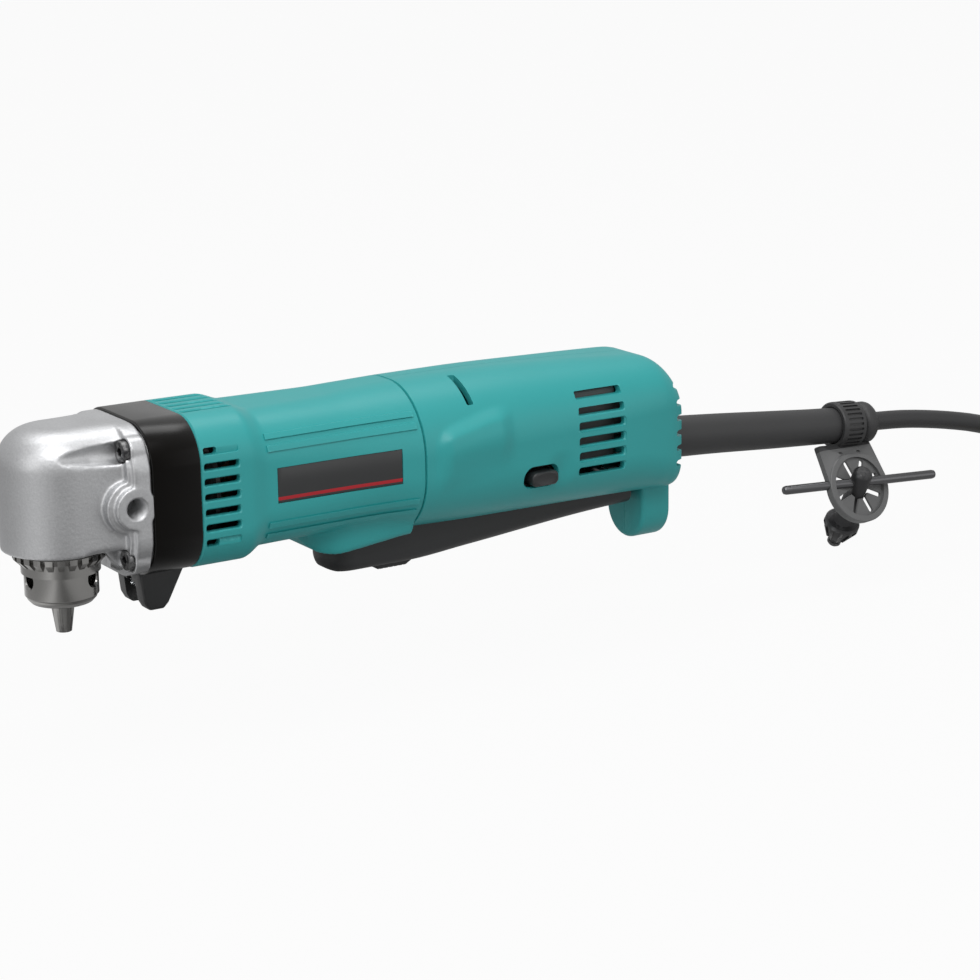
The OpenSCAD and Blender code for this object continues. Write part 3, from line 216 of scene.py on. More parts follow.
def plate(outline, axis, a, b):
    """An outline drawn across an axis (YZ, XZ or XY) and given thickness along it."""
    place = AXES[axis]
    return skin([[place(u, v, w) for u, v in outline] for w in (a, b)])


def block(x, y, z):
    return plate([(x[0], y[0]), (x[1], y[0]), (x[1], y[1]), (x[0], y[1])], "z", z[0], z[1])


def rod(axis, r, a, b, at=(0, 0), steps=64):
    return plate(circle(r, steps, at), axis, a, b)


def lathe(profile, axis="z", at=(0, 0), steps=96):
    """Turns (radius, place along the axis) round an axis. A profile that ends on the axis is closed there."""
    place = AXES[axis]
    rings = []
    for r, w in profile:
        rings.append([place(at[0] + r * math.cos(2 * math.pi * k / steps),
                            at[1] + r * math.sin(2 * math.pi * k / steps), w) for k in range(steps)])
    on_axis = profile[0][0] == 0 and profile[-1][0] == 0
    return outward(skin(rings, round_trip=not on_axis), 1e-3)


def placed(solid, matrix):
    solid.data.transform(matrix)
    if matrix.determinant() < 0:
        solid.data.flip_normals()
    return solid


def turned(degrees, axis):
    return Matrix.Rotation(math.radians(degrees), 4, axis)


def soften(solid, width, segments=3, angle=30):
    """Rounds every edge that is sharper than the angle."""
    bm = bmesh.new()
    bm.from_mesh(solid.data)
    edges = [e for e in bm.edges if len(e.link_faces) == 2 and e.calc_face_angle(0) > math.radians(angle)]
    bmesh.ops.bevel(bm, geom=edges, offset=width, segments=segments, profile=0.5, affect="EDGES",
                    clamp_overlap=True)
    bm.to_mesh(solid.data)
    bm.free()
    return outward(solid)


def baked(solid):
    """Turns a solid's modifiers into plain mesh."""
    graph = bpy.context.evaluated_depsgraph_get()
    mesh = bpy.data.meshes.new_from_object(solid.evaluated_get(graph))
    solid.modifiers.clear()
    old, solid.data = solid.data, mesh
    bpy.data.meshes.remove(old)
    return solid


def drop(*solids):
    for solid in solids:
        mesh = solid.data
        bpy.data.objects.remove(solid)
        bpy.data.meshes.remove(mesh)


def combined(base, tools, operation):
    for tool in tools:
        before = len(base.data.vertices), len(base.data.polygons)
        spare = base.data.copy()
        for solver in ("MANIFOLD", "EXACT"):
            mod = base.modifiers.new("combine", "BOOLEAN")
            mod.operation, mod.solver, mod.object = operation, solver, tool
            baked(base)
            after = len(base.data.vertices), len(base.data.polygons)
            if after != before and after[1] > 0:
                break
            print("combine:", operation, solver, "left the shape as it was", before, after)
            old, base.data = base.data, spare.copy()
            bpy.data.meshes.remove(old)
        bpy.data.meshes.remove(spare)
        drop(tool)
    return base


def cut(base, *tools):
    return combined(base, tools, "DIFFERENCE")


def joined(base, *tools):
    return combined(base, tools, "UNION")


def kept(base, *tools):
    return combined(base, tools, "INTERSECT")


def span(side, a, b):
    """From a to b on the left side (-1) or on the right side (1), the lower end first."""
    return sorted((side * a, side * b))


def side_loft(side, rings):
    """A solid through outlines in X and Z, each with its distance from the middle, on one side."""
    return skin([[(u, side * w, v) for u, v in outline] for outline, w in rings])


# Geometry Nodes for what repeats
def feed(tree, source, socket):
    """Links an output to a node's input, or sets that input to a plain value."""
    if hasattr(source, "is_output"):
        tree.links.new(source, socket)
    else:
        socket.default_value = source


def node_tree(name, *inputs):
    """A tree that takes a piece, an object to copy, a material and the other inputs named."""
    tree = bpy.data.node_groups.new(name, "GeometryNodeTree")
    inputs = [("Geometry", "Geometry"), ("Copied", "Object"), *inputs, ("Material", "Material")]
    for label, kind in inputs:
        tree.interface.new_socket(label, in_out="INPUT", socket_type="NodeSocket" + kind)
    tree.interface.new_socket("Geometry", in_out="OUTPUT", socket_type="NodeSocketGeometry")
    into, out = tree.nodes.new("NodeGroupInput"), tree.nodes.new("NodeGroupOutput")

    def add(kind, links=(), **settings):
        node = tree.nodes.new(kind)
        for key, value in settings.items():
            setattr(node, key, value)
        for socket, source in dict(links).items():
            feed(tree, source, node.inputs[socket])
        return node

    def close(points, taken_out, **links):
        """Puts copies of the object on points, as the result or taken out of the piece."""
        tool = add("GeometryNodeObjectInfo", {"Object": into.outputs["Copied"]}, transform_space="ORIGINAL")
        copies = add("GeometryNodeInstanceOnPoints",
                     {"Points": points, "Instance": tool.outputs["Geometry"], **links})
        result = add("GeometryNodeRealizeInstances", {"Geometry": copies.outputs[0]})
        if taken_out:
            result = add("GeometryNodeMeshBoolean",
                         {"Mesh 1": into.outputs["Geometry"], "Mesh 2": result.outputs[0]},
                         operation="DIFFERENCE", solver="MANIFOLD")
        dressed = add("GeometryNodeSetMaterial",
                      {"Geometry": result.outputs[0], "Material": into.outputs["Material"]})
        tree.links.new(dressed.outputs[0], out.inputs[0])
        return tree

    return add, into, close


def row_of_cuts_tree():
    """Takes a row of copies of a cutter out of a piece."""
    add, into, close = node_tree("row_of_cuts", ("Count", "Int"), ("Start", "Vector"), ("Step", "Vector"))
    line = add("GeometryNodeMeshLine", {"Count": into.outputs["Count"],
                                        "Start Location": into.outputs["Start"],
                                        "Offset": into.outputs["Step"]}, mode="OFFSET")
    return close(line.outputs[0], True)


def ring_of_cuts_tree():
    """Takes copies of a cutter, turned round the Z axis, out of a piece."""
    add, into, close = node_tree("ring_of_cuts", ("Count", "Int"))
    points = add("GeometryNodePoints", {"Count": into.outputs["Count"]})
    index = add("GeometryNodeInputIndex")
    whole = add("ShaderNodeMath", {0: 2 * math.pi, 1: into.outputs["Count"]}, operation="DIVIDE")
    turn = add("ShaderNodeMath", {0: index.outputs[0], 1: whole.outputs[0]}, operation="MULTIPLY")
    euler = add("ShaderNodeCombineXYZ", {"Z": turn.outputs[0]})
    return close(points.outputs[0], True, Rotation=euler.outputs[0])


def seat_copies_tree():
    """Puts a copy of a part on each of the seats that the modifier's own mesh holds as points."""
    _, into, close = node_tree("seat_copies")
    return close(into.outputs["Geometry"], False)


ROW_OF_CUTS = row_of_cuts_tree()
RING_OF_CUTS = ring_of_cuts_tree()
SEAT_COPIES = seat_copies_tree()


def grown(solid, tree, **values):
    """Runs a node tree on a solid with its inputs set by identifier, and keeps the result as mesh."""
    mod = solid.modifiers.new(tree.name, "NODES")
    mod.node_group = tree
    for item in tree.interface.items_tree:
        if item.item_type == "SOCKET" and item.in_out == "INPUT" and item.name in values:
            mod[item.identifier] = values[item.name]
    before = len(solid.data.polygons)
    baked(solid)
    if len(solid.data.polygons) == before:
        print("grown:", tree.name, "left the shape as it was")
    return solid


def row_cut(solid, cutter, count, start, step, material):
    grown(solid, ROW_OF_CUTS, Copied=cutter, Count=count, Start=start, Step=step, Material=material)
    drop(cutter)
    return solid


def ring_cut(solid, cutter, count, material):
    grown(solid, RING_OF_CUTS, Copied=cutter, Count=count, Material=material)
    drop(cutter)
    return solid


def seated(seats, part, material):
    copies = grown(shape(seats, []), SEAT_COPIES, Copied=part, Material=material)
    drop(part)
    return copies


def finished(solid, name, material, body, node, sharp=32):
    """Names a solid, brings it to metres, smooths it up to an angle, hangs it on its body's empty and hides
    the imported node.
    """
    solid.name = solid.data.name = name
    solid.data.transform(Matrix.Scale(MM, 4))
    solid.data.materials.clear()
    solid.data.materials.append(material)
    solid.data.polygons.foreach_set("material_index", [0] * len(solid.data.polygons))
    solid.data.polygons.foreach_set("use_smooth", [True] * len(solid.data.polygons))
    solid.data.set_sharp_from_angle(angle=math.radians(sharp))
    solid.data.update()
    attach(solid, body)
    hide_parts(node)
    return solid


def from_frame(node, soft=0.0, merge=0.002):
    """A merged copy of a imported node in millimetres, with its flat faces whole again."""
    mesh = frame["nodes"][node].data.copy()
    mesh.transform(Matrix.Scale(1 / MM, 4))
    solid = bpy.data.objects.new("shape", mesh)
    scene.collection.objects.link(solid)
    bm = bmesh.new()
    bm.from_mesh(mesh)
    bmesh.ops.remove_doubles(bm, verts=bm.verts, dist=merge)
    bmesh.ops.dissolve_limit(bm, angle_limit=math.radians(1), verts=bm.verts, edges=bm.edges)
    bm.to_mesh(mesh)
    bm.free()
    if soft:
        soften(solid, soft, 2)
    return solid


def box_mm(node):
    low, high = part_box(node)
    return low / MM, high / MM


# Finishes
def shader_group(name, inputs, outputs):
    tree = bpy.data.node_groups.new(name, "ShaderNodeTree")
    for label, kind, value in inputs:
        socket = tree.interface.new_socket(label, in_out="INPUT", socket_type="NodeSocket" + kind)
        socket.default_value = value
    for label, kind in outputs:
        tree.interface.new_socket(label, in_out="OUTPUT", socket_type="NodeSocket" + kind)
    return tree, tree.nodes.new("NodeGroupInput"), tree.nodes.new("NodeGroupOutput")


def noise_on(tree, scale, detail):
    noise = tree.nodes.new("ShaderNodeTexNoise")
    noise.inputs["Detail"].default_value = detail
    tree.links.new(tree.nodes.new("ShaderNodeTexCoord").outputs["Object"], noise.inputs["Vector"])
    tree.links.new(scale, noise.inputs["Scale"])
    return noise.outputs["Fac"]


def math_on(tree, operation, *values):
    node = tree.nodes.new("ShaderNodeMath")
    node.operation = operation
    for value, socket in zip(values, node.inputs):
        feed(tree, value, socket)
    return node.outputs[0]


def mapped(tree, value, low, high):
    """Goes smoothly from 0 at low to 1 at high."""
    node = tree.nodes.new("ShaderNodeMapRange")
    node.interpolation_type = "SMOOTHSTEP"
    for label, source in (("Value", value), ("From Min", low), ("From Max", high)):
        feed(tree, source, node.inputs[label])
    return node.outputs["Result"]


def mixed(tree, mask, tint, colour):
    """A tint that gives way to a plain colour where the mask is."""
    node = tree.nodes.new("ShaderNodeMix")
    node.data_type = "RGBA"
    tree.links.new(mask, node.inputs["Factor"])
    tree.links.new(tint, node.inputs[6])
    node.inputs[7].default_value = (*colour, 1.0)
    return node.outputs[2]


def painted(material, mask, colour):
    """Lays a plain colour over a finish where the mask is."""
    tree = material.node_tree
    base = tree.nodes["Principled BSDF"].inputs["Base Color"]
    tree.links.new(mixed(tree, mask, base.links[0].from_socket, colour), base)
    return material


def moulded_grain_group():
    """Fine pits of a mould or a casting: two sizes of grain in one height."""
    tree, into, out = shader_group("moulded_grain", [("Scale", "Float", 1500.0),
                                                     ("Coarse share", "Float", 0.3)], [("Height", "Float")])
    fine = noise_on(tree, into.outputs["Scale"], 3.0)
    wide = noise_on(tree, math_on(tree, "MULTIPLY", into.outputs["Scale"], 0.22), 2.0)
    share = math_on(tree, "MULTIPLY", wide, into.outputs["Coarse share"])
    tree.links.new(math_on(tree, "ADD", fine, share), out.inputs["Height"])
    return tree


def tone_drift_group():
    """Lets a colour grow a little lighter and darker in slow clouds."""
    tree, into, out = shader_group("tone_drift", [("Colour", "Color", (0.5, 0.5, 0.5, 1)),
                                                  ("Scale", "Float", 40.0), ("Amount", "Float", 0.06)],
                                   [("Colour", "Color")])
    cloud = noise_on(tree, into.outputs["Scale"], 4.0)
    swing = math_on(tree, "MULTIPLY", math_on(tree, "SUBTRACT", cloud, 0.5), into.outputs["Amount"])
    level = math_on(tree, "ADD", math_on(tree, "MULTIPLY", swing, 2.0), 1.0)
    scaled = tree.nodes.new("ShaderNodeVectorMath")
    scaled.operation = "SCALE"
    tree.links.new(into.outputs["Colour"], scaled.inputs[0])
    tree.links.new(level, scaled.inputs["Scale"])
    tree.links.new(scaled.outputs[0], out.inputs["Colour"])
    return tree


def handling_group():
    """Roughness of a surface that hands have polished in places."""
    tree, into, out = shader_group("handling", [("Roughness", "Float", 0.4), ("Scale", "Float", 90.0),
                                                ("Amount", "Float", 0.1)], [("Roughness", "Float")])
    cloud = noise_on(tree, into.outputs["Scale"], 5.0)
    swing = math_on(tree, "MULTIPLY", math_on(tree, "SUBTRACT", cloud, 0.5), into.outputs["Amount"])
    tree.links.new(math_on(tree, "ADD", into.outputs["Roughness"], math_on(tree, "MULTIPLY", swing, 2.0)),
                   out.inputs["Roughness"])
    return tree


def edge_wear_group():
    """Where corners stand out: broken up by a fine noise, so that the rubbed line isn't even."""
    tree, into, out = shader_group("edge_wear", [("Reach", "Float", 0.06), ("Break up", "Float", 700.0)],
                                   [("Mask", "Float")])
    point = tree.nodes.new("ShaderNodeNewGeometry").outputs["Pointiness"]
    reach = into.outputs["Reach"]
    start = math_on(tree, "ADD", 0.5, math_on(tree, "MULTIPLY", reach, 0.4))
    edge = mapped(tree, point, start, math_on(tree, "ADD", 0.5, reach))
    broken = mapped(tree, noise_on(tree, into.outputs["Break up"], 3.0), 0.35, 0.6)
    tree.links.new(math_on(tree, "MULTIPLY", edge, broken), out.inputs["Mask"])
    return tree


MOULDED_GRAIN = moulded_grain_group()
TONE_DRIFT = tone_drift_group()
HANDLING = handling_group()
EDGE_WEAR = edge_wear_group()


def with_group(tree, group, **values):
    node = tree.nodes.new("ShaderNodeGroup")
    node.node_tree = group
    for label, value in values.items():
        feed(tree, value, node.inputs[label.replace("_", " ")])
    return node.outputs[0]


def finish(name, colour, rough, metal=0.0, grain=1500.0, coarse=0.3, depth=0.03, tone=0.05, polish=0.05,
           worn=None, tone_scale=45.0):
    """A finish: drifting tone and gloss, a fine grain as bump, and rubbed edges if it has them."""
    material = bpy.data.materials.new(name)
    material.use_nodes = True
    tree = material.node_tree
    face = tree.nodes["Principled BSDF"]
    face.inputs["Metallic"].default_value = metal
    tint = with_group(tree, TONE_DRIFT, Colour=(*colour, 1.0), Scale=tone_scale, Amount=tone)
    if worn:
        tint = mixed(tree, with_group(tree, EDGE_WEAR, Reach=worn[1]), tint, worn[0])
    tree.links.new(tint, face.inputs["Base Color"])
    tree.links.new(with_group(tree, HANDLING, Roughness=rough, Amount=polish), face.inputs["Roughness"])
    bump = tree.nodes.new("ShaderNodeBump")
    bump.inputs["Strength"].default_value = 1.0
    bump.inputs["Distance"].default_value = depth * MM
    tree.links.new(with_group(tree, MOULDED_GRAIN, Scale=grain, Coarse_share=coarse), bump.inputs["Height"])
    tree.links.new(bump.outputs[0], face.inputs["Normal"])
    return material


def sheen_at_the_rim(material, level):
    """A polished face that is dark seen square and bright seen along it."""
    tree = material.node_tree
    slant = tree.nodes.new("ShaderNodeLayerWeight")
    slant.inputs["Blend"].default_value = 0.5
    gain = math_on(tree, "MULTIPLY", math_on(tree, "POWER", slant.outputs["Facing"], 1.5), level)
    tree.links.new(gain, tree.nodes["Principled BSDF"].inputs["Specular IOR Level"])


def axis_coordinate(tree, axis):
    split = tree.nodes.new("ShaderNodeSeparateXYZ")
    tree.links.new(tree.nodes.new("ShaderNodeTexCoord").outputs["Object"], split.inputs[0])
    return split.outputs[axis]


def turned_steel(name, colour, rough, pitch):
    """Bright steel with the fine lines that a lathe leaves along the spindle's axis."""
    material = finish(name, colour, rough, 1.0, 2600.0, 0.2, 0.002, 0.04, 0.02)
    tree = material.node_tree
    bump = next(n for n in tree.nodes if n.type == "BUMP")
    phase = math_on(tree, "MULTIPLY", axis_coordinate(tree, "Z"), 2 * math.pi / (pitch * MM))
    lines = math_on(tree, "MULTIPLY", math_on(tree, "SINE", phase), 0.35)
    grain = bump.inputs["Height"].links[0].from_socket
    tree.links.new(math_on(tree, "ADD", lines, grain), bump.inputs["Height"])
    return material


RED_LINE = (-5.3, -4.1)


def plate_finish():
    """Satin black foil with one red line near its lower edge."""
    material = finish("plate_black", (0.032, 0.033, 0.034), 0.3, 0.0, 900.0, 0.2, 0.004, 0.1, 0.05)
    tree = material.node_tree
    high = axis_coordinate(tree, "Z")
    inside = math_on(tree, "MULTIPLY", math_on(tree, "GREATER_THAN", high, RED_LINE[0] * MM),
                     math_on(tree, "LESS_THAN", high, RED_LINE[1] * MM))
    return painted(material, inside, (0.47, 0.01, 0.02))


def lens_finish():
    material = finish("lens_clear", (0.9, 0.93, 0.95), 0.08, 0.0, 500.0, 0.2, 0.003, 0.02, 0.02)
    face = material.node_tree.nodes["Principled BSDF"]
    face.inputs["Transmission Weight"].default_value = 0.85
    face.inputs["IOR"].default_value = 1.49
    return material


TEAL = finish("teal_plastic", (0.029, 0.36, 0.362), 0.42, 0.0, 1900.0, 0.25, 0.012, 0.03, 0.05,
              ((0.06, 0.44, 0.44), 0.09))
BLACK = finish("black_plastic", (0.021, 0.022, 0.023), 0.42, 0.0, 1800.0, 0.25, 0.014, 0.08, 0.06,
               ((0.06, 0.06, 0.06), 0.08))
BAND = finish("band_black", (0.007, 0.0065, 0.006), 0.24, 0.0, 1400.0, 0.3, 0.01, 0.1, 0.06)
sheen_at_the_rim(BAND, 1.6)
RUBBER = finish("dark_rubber", (0.037, 0.037, 0.038), 0.52, 0.0, 1300.0, 0.4, 0.02, 0.1, 0.07,
                ((0.075, 0.075, 0.075), 0.09))
CORD = finish("cord_rubber", (0.03, 0.03, 0.031), 0.46, 0.0, 1500.0, 0.4, 0.015, 0.08, 0.06)
CAST = finish("cast_aluminium", (0.57, 0.575, 0.585), 0.47, 1.0, 850.0, 0.5, 0.085, 0.16, 0.08,
              ((0.86, 0.86, 0.87), 0.08), 1500.0)
CHUCK = turned_steel("chuck_steel", (0.36, 0.355, 0.345), 0.21, 0.22)
KEY = finish("key_steel", (0.06, 0.06, 0.062), 0.38, 0.8, 1600.0, 0.4, 0.012, 0.12, 0.06,
             ((0.2, 0.2, 0.2), 0.08))
BAR = finish("bar_steel", (0.14, 0.14, 0.145), 0.32, 1.0, 2200.0, 0.3, 0.008, 0.1, 0.1)
SCREW = finish("screw_black", (0.035, 0.035, 0.037), 0.36, 0.55, 1500.0, 0.3, 0.012, 0.15, 0.1,
               ((0.2, 0.2, 0.2), 0.07))
SWITCH = finish("switch_grey", (0.10, 0.10, 0.10), 0.5, 0.0, 900.0, 0.3, 0.01, 0.15, 0.1)
PLATE = plate_finish()
LENS = lens_finish()
INNER = {
    "gear_steel": finish("gear_steel", (0.42, 0.42, 0.43), 0.33, 1.0, 2000.0, 0.3, 0.01, 0.1, 0.1),
    "bearing_steel": finish("bearing_steel", (0.55, 0.55, 0.56), 0.22, 1.0, 2400.0, 0.2, 0.004, 0.06, 0.05),
    "core_steel": finish("core_steel", (0.3, 0.3, 0.32), 0.45, 0.9, 900.0, 0.5, 0.03, 0.15, 0.1),
    "copper_wire": finish("copper_wire", (0.52, 0.19, 0.07), 0.35, 0.85, 1100.0, 0.6, 0.06, 0.15, 0.1),
    "brass": finish("brass", (0.62, 0.45, 0.16), 0.3, 1.0, 1900.0, 0.3, 0.01, 0.1, 0.1),
    "carbon": finish("carbon", (0.03, 0.03, 0.032), 0.6, 0.1, 2200.0, 0.4, 0.03, 0.2, 0.1),
    "lamp_white": finish("lamp_white", (0.8, 0.8, 0.74), 0.25, 0.0, 800.0, 0.2, 0.006, 0.03, 0.03),
    "screw_steel": SCREW, "black_plastic": BLACK, "dark_rubber": RUBBER, "teal_plastic": TEAL,
    "cast_aluminium": CAST, "chuck_steel": CHUCK, "key_steel": KEY, "cord_rubber": CORD,
    "lens_clear": LENS, "plate_black": PLATE,
}
for row in frame["record"]["subparts"]:
    slots = frame["nodes"][row["node"]].data.materials
    slots.clear()
    slots.append(INNER[row["material_slot"]])


# Camera, at the photograph's place
CAMERA_AT = Vector((-460.85, -845.59, 236.71)) * MM
CAMERA_RIGHT, CAMERA_UP = Vector((0.84263, -0.53833, -0.01285)), Vector((0.14537, 0.20443, 0.96803))
CAMERA_BACK = Vector((-0.5185, -0.81756, 0.25052))
CAMERA_TURN = Matrix((CAMERA_RIGHT, CAMERA_UP, CAMERA_BACK)).transposed()
CAMERA_ANGLE = 20.03
lens = bpy.data.cameras.new("camera")
lens.sensor_fit = "HORIZONTAL"
lens.angle = math.radians(CAMERA_ANGLE)
camera = bpy.data.objects.new("camera", lens)
camera.matrix_world = Matrix.Translation(CAMERA_AT) @ CAMERA_TURN.to_4x4()
scene.collection.objects.link(camera)
scene.camera = camera


# Cord: from the guard to a tied hank of stacked loops, wound from the top down to the floor, with its plug
HANK_X, HANK_HALF, HANK_R, HANK_PITCH, HANK_TURNS = 450.0, 48.0, 24.0, 8.5, 4
HANK_END_Z, HANK_LEAD = -74.7, 18.0
HANK_TOP = HANK_END_Z + HANK_TURNS * HANK_PITCH
HANK_START = (HANK_X - HANK_HALF - CORD_D, HANK_R, HANK_TOP)
ROUTE = [CORD_EXIT, (276, 0, -22.4), (294, 0, -25), (312, 0, -28.6), (328, 2, -33), (344, 7.6, -36.4),
         (360, 15.2, -38.9), (376, 21.4, -40.3), (HANK_START[0] - 6.4, HANK_R - 0.2, HANK_TOP), HANK_START]


def hank_place(turn):
    """A place on the hank: two straight runs and two folds a turn, a step down in the fold at the front."""
    k = 24 * (turn % 1.0)
    if k <= 4:
        x, y = HANK_HALF * (k / 2 - 1), HANK_R
    elif k <= 12:
        a = math.radians(22.5 * (k - 4))
        x, y = HANK_HALF + HANK_R * math.sin(a), HANK_R * math.cos(a)
    elif k <= 16:
        x, y = HANK_HALF * (1 - (k - 12) / 2), -HANK_R
    else:
        a = math.radians(22.5 * (k - 16))
        x, y = -HANK_HALF - HANK_R * math.sin(a), -HANK_R * math.cos(a)
    level = math.floor(turn + 1e-9) + min(1.0, max(0.0, (k - 18) / 4))
    return Vector((HANK_X + x, y, HANK_TOP - HANK_PITCH * level))


def through(points, steps):
    """A smooth line through points, with so many steps in each gap."""
    p = [Vector(q) for q in points]
    p = [2 * p[0] - p[1]] + p + [2 * p[-1] - p[-2]]
    out = []
    for i in range(1, len(p) - 2):
        for k in range(steps):
            t = k / steps
            out.append(0.5 * (2 * p[i] + (p[i + 1] - p[i - 1]) * t
                              + (2 * p[i - 1] - 5 * p[i] + 4 * p[i + 1] - p[i + 2]) * t * t
                              + (3 * p[i] - p[i - 1] - 3 * p[i + 1] + p[i + 2]) * t ** 3))
    return out + [p[-2]]


HANK_STEPS = 72
HANK_LAST = HANK_TURNS * HANK_STEPS + HANK_STEPS * 2 // 3
HANK_END = hank_place(HANK_LAST / HANK_STEPS)
cord_line = through(ROUTE, 3)
cord_line += [hank_place(k / HANK_STEPS) for k in range(HANK_LAST + 1)]
cord_line.append(HANK_END - Vector((HANK_LEAD, 0, 0)))
cord_curve = bpy.data.curves.new("cord_run", "CURVE")
cord_curve.dimensions = "3D"
cord_curve.bevel_depth = CORD_D / 2 * MM
cord_curve.bevel_resolution = 6
cord_curve.use_fill_caps = True
spline = cord_curve.splines.new("POLY")
spline.points.add(len(cord_line) - 1)
for point, place in zip(spline.points, cord_line):
    point.co = (*(place * MM), 1.0)
spline.use_smooth = True
cord_curve.materials.append(CORD)
cord_run = bpy.data.objects.new("cord_run", cord_curve)
scene.collection.objects.link(cord_run)
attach(cord_run, "housing")
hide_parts("cord", "cord_coil")

# Tie round one side of the hank, plug and pins
tie_half, tie_top, tie_low = CORD_D / 2 + 0.5, HANK_TOP + CORD_D / 2 + 0.4, FLOOR_Z + 1.1
tie_high, tie_z = (tie_top - tie_low) / 2, (tie_top + tie_low) / 2
tie_outer = shifted(rounded_box(tie_half + 1.1, tie_high + 1.1, 2.4), HANK_R, tie_z)
tie_inner = shifted(rounded_box(tie_half, tie_high, 1.4), HANK_R, tie_z)
tie = plate(tie_outer, "x", HANK_X - 5, HANK_X + 5)
cut(tie, plate(tie_inner, "x", HANK_X - 9, HANK_X + 9))
soften(tie, 0.35, 2)
coil_tie = finished(tie, "hank_band", RUBBER, "housing", "coil_tie")

PLUG_X = HANK_END.x - HANK_LEAD
PLUG_FACE = PLUG_X - 39
PIN_ASIDE = 9.5
PLUG_HALF_H = HANK_END_Z - FLOOR_Z
plug_at = (HANK_END.y, HANK_END_Z)
plug = plate(shifted(rounded_box(15, PLUG_HALF_H, 5.2), *plug_at), "x", PLUG_FACE, PLUG_X - 15)
soften(plug, 1.4, 3)
neck = lathe([(0, PLUG_X - 17), (5.2, PLUG_X - 17), (5.2, PLUG_X - 14), (5.1, PLUG_X - 8),
              (5.0, PLUG_X - 1.4), (4.5, PLUG_X), (0, PLUG_X)], "x", plug_at)
joined(plug, neck)
for side in SIDES:
    grip = plate(rounded_box(0.7, 3.4, 0.69), "x", -1, 1)
    placed(grip, Matrix.Translation((PLUG_X - 27, HANK_END.y + side * 15, HANK_END_Z)))
    row_cut(plug, grip, 4, (-4.5, 0, 0), (3, 0, 0), BLACK)
plug_piece = finished(plug, "plug_moulding", CORD, "housing", "plug_body")
pin = lathe([(0, 0), (2.3, 0), (2.3, -16.4), (1.9, -17.8), (1.2, -18.6), (0, -18.6)], "x")
pins = seated([(PLUG_FACE, HANK_END.y + side * PIN_ASIDE, HANK_END_Z) for side in SIDES], pin, INNER["brass"])
pins_piece = finished(pins, "plug_contacts", INNER["brass"], "housing", "plug_pins")


# Gear head: cast shapes are run together, softened as a casting is, and then machined
HEAD_R, HEAD_TOP, HEAD_LOW, HEAD_ROUND = 20.0, 26.5, -15.8, 13.0
CAST_GRAIN = 0.5


def head_profile():
    top = arc(HEAD_R - HEAD_ROUND, HEAD_TOP - HEAD_ROUND, HEAD_ROUND, 0, 90, 16)
    return [(0, HEAD_LOW), (HEAD_R, HEAD_LOW)] + top + [(HEAD_R - HEAD_ROUND, HEAD_TOP), (0, HEAD_TOP)]


def head_neck():
    stations = [(-98, 20.0, 13.0), (-92, 20.2, 13.0), (-86, 21.2, 13.5), (-82, 22.6, 14), (-76, 24, 14)]
    rings = []
    for x in np.linspace(SPINDLE_X, FLANGE_BACK - 1, 24):
        half, r = steady(stations, x)
        rings.append([(x, y, z) for y, z in housing_section(half, HEAD_TOP, -HEAD_LOW, r, 2.5, 14, 10, 8)])
    return skin(rings)


def gear_head():
    head = lathe(head_profile(), "z", (SPINDLE_X, 0))
    edge = rounded_box(BODY_HALF_W - 0.5, BODY_HALF_H - 0.5, BODY_R, 12)
    flange = plate(edge, "x", FLANGE_FRONT, FLANGE_BACK)
    boss = rod("y", HANDLE_BOSS_R, -HANDLE_FACE, HANDLE_FACE, (HANDLE_X, 0))
    pads = [rod("y", HANDLE_BOSS_R + 1.9, *span(side, 14, 24.6), (HANDLE_X - 0.5, 0)) for side in SIDES]
    web = plate([(SPINDLE_X + 8, HEAD_LOW + 1), (FLANGE_BACK - 1, HEAD_LOW + 1), (FLANGE_BACK - 1, -24),
                 (FLANGE_FRONT, -24)], "y", -16, 16)
    lip = plate(rounded_box(BODY_HALF_W - 2.4, BODY_HALF_H - 2.4, BODY_R - 2, 12), "x", FLANGE_FRONT - 1.5,
                FLANGE_BACK - 1)
    joined(head, head_neck(), soften(flange, 0.9), lip, boss, *pads, web)
    lugs = [rod("x", 5.0, FLANGE_FRONT, FLANGE_BACK - 1, at) for at in FLANGE_SCREWS]
    joined(head, *[kept(lug, block((-93, FLANGE_BACK - 1), (-26.8, 26.8), (-26.3, 26.3))) for lug in lugs])
    channel = [(0, -117), (0.9, -117), (3.9, -93), (3.9, SCREW_SEAT), (0, SCREW_SEAT)]
    cut(head, *[lathe(channel, "x", at, 48) for at in FLANGE_SCREWS])
    for mod_type, values in (("REMESH", {"mode": "VOXEL", "voxel_size": CAST_GRAIN}),
                             ("SMOOTH", {"factor": 0.5, "iterations": 9})):
        mod = head.modifiers.new("cast", mod_type)
        for key, value in values.items():
            setattr(mod, key, value)
    baked(head)
    machine_head(head)
    return head


def thread_profile(r, pitch, a, b):
    """A tapped hole's wall from a to b: ridges of a thread, with a chamfer at its mouth b."""
    wall = [(0, a), (r, a)]
    turns = int((b - a) / pitch)
    for k in range(turns):
        wall += [(r, a + k * pitch), (r + 0.5, a + (k + 0.5) * pitch)]
    return wall + [(r, b - 0.7), (r + 0.7, b), (r + 0.7, b + 4), (0, b + 4)]


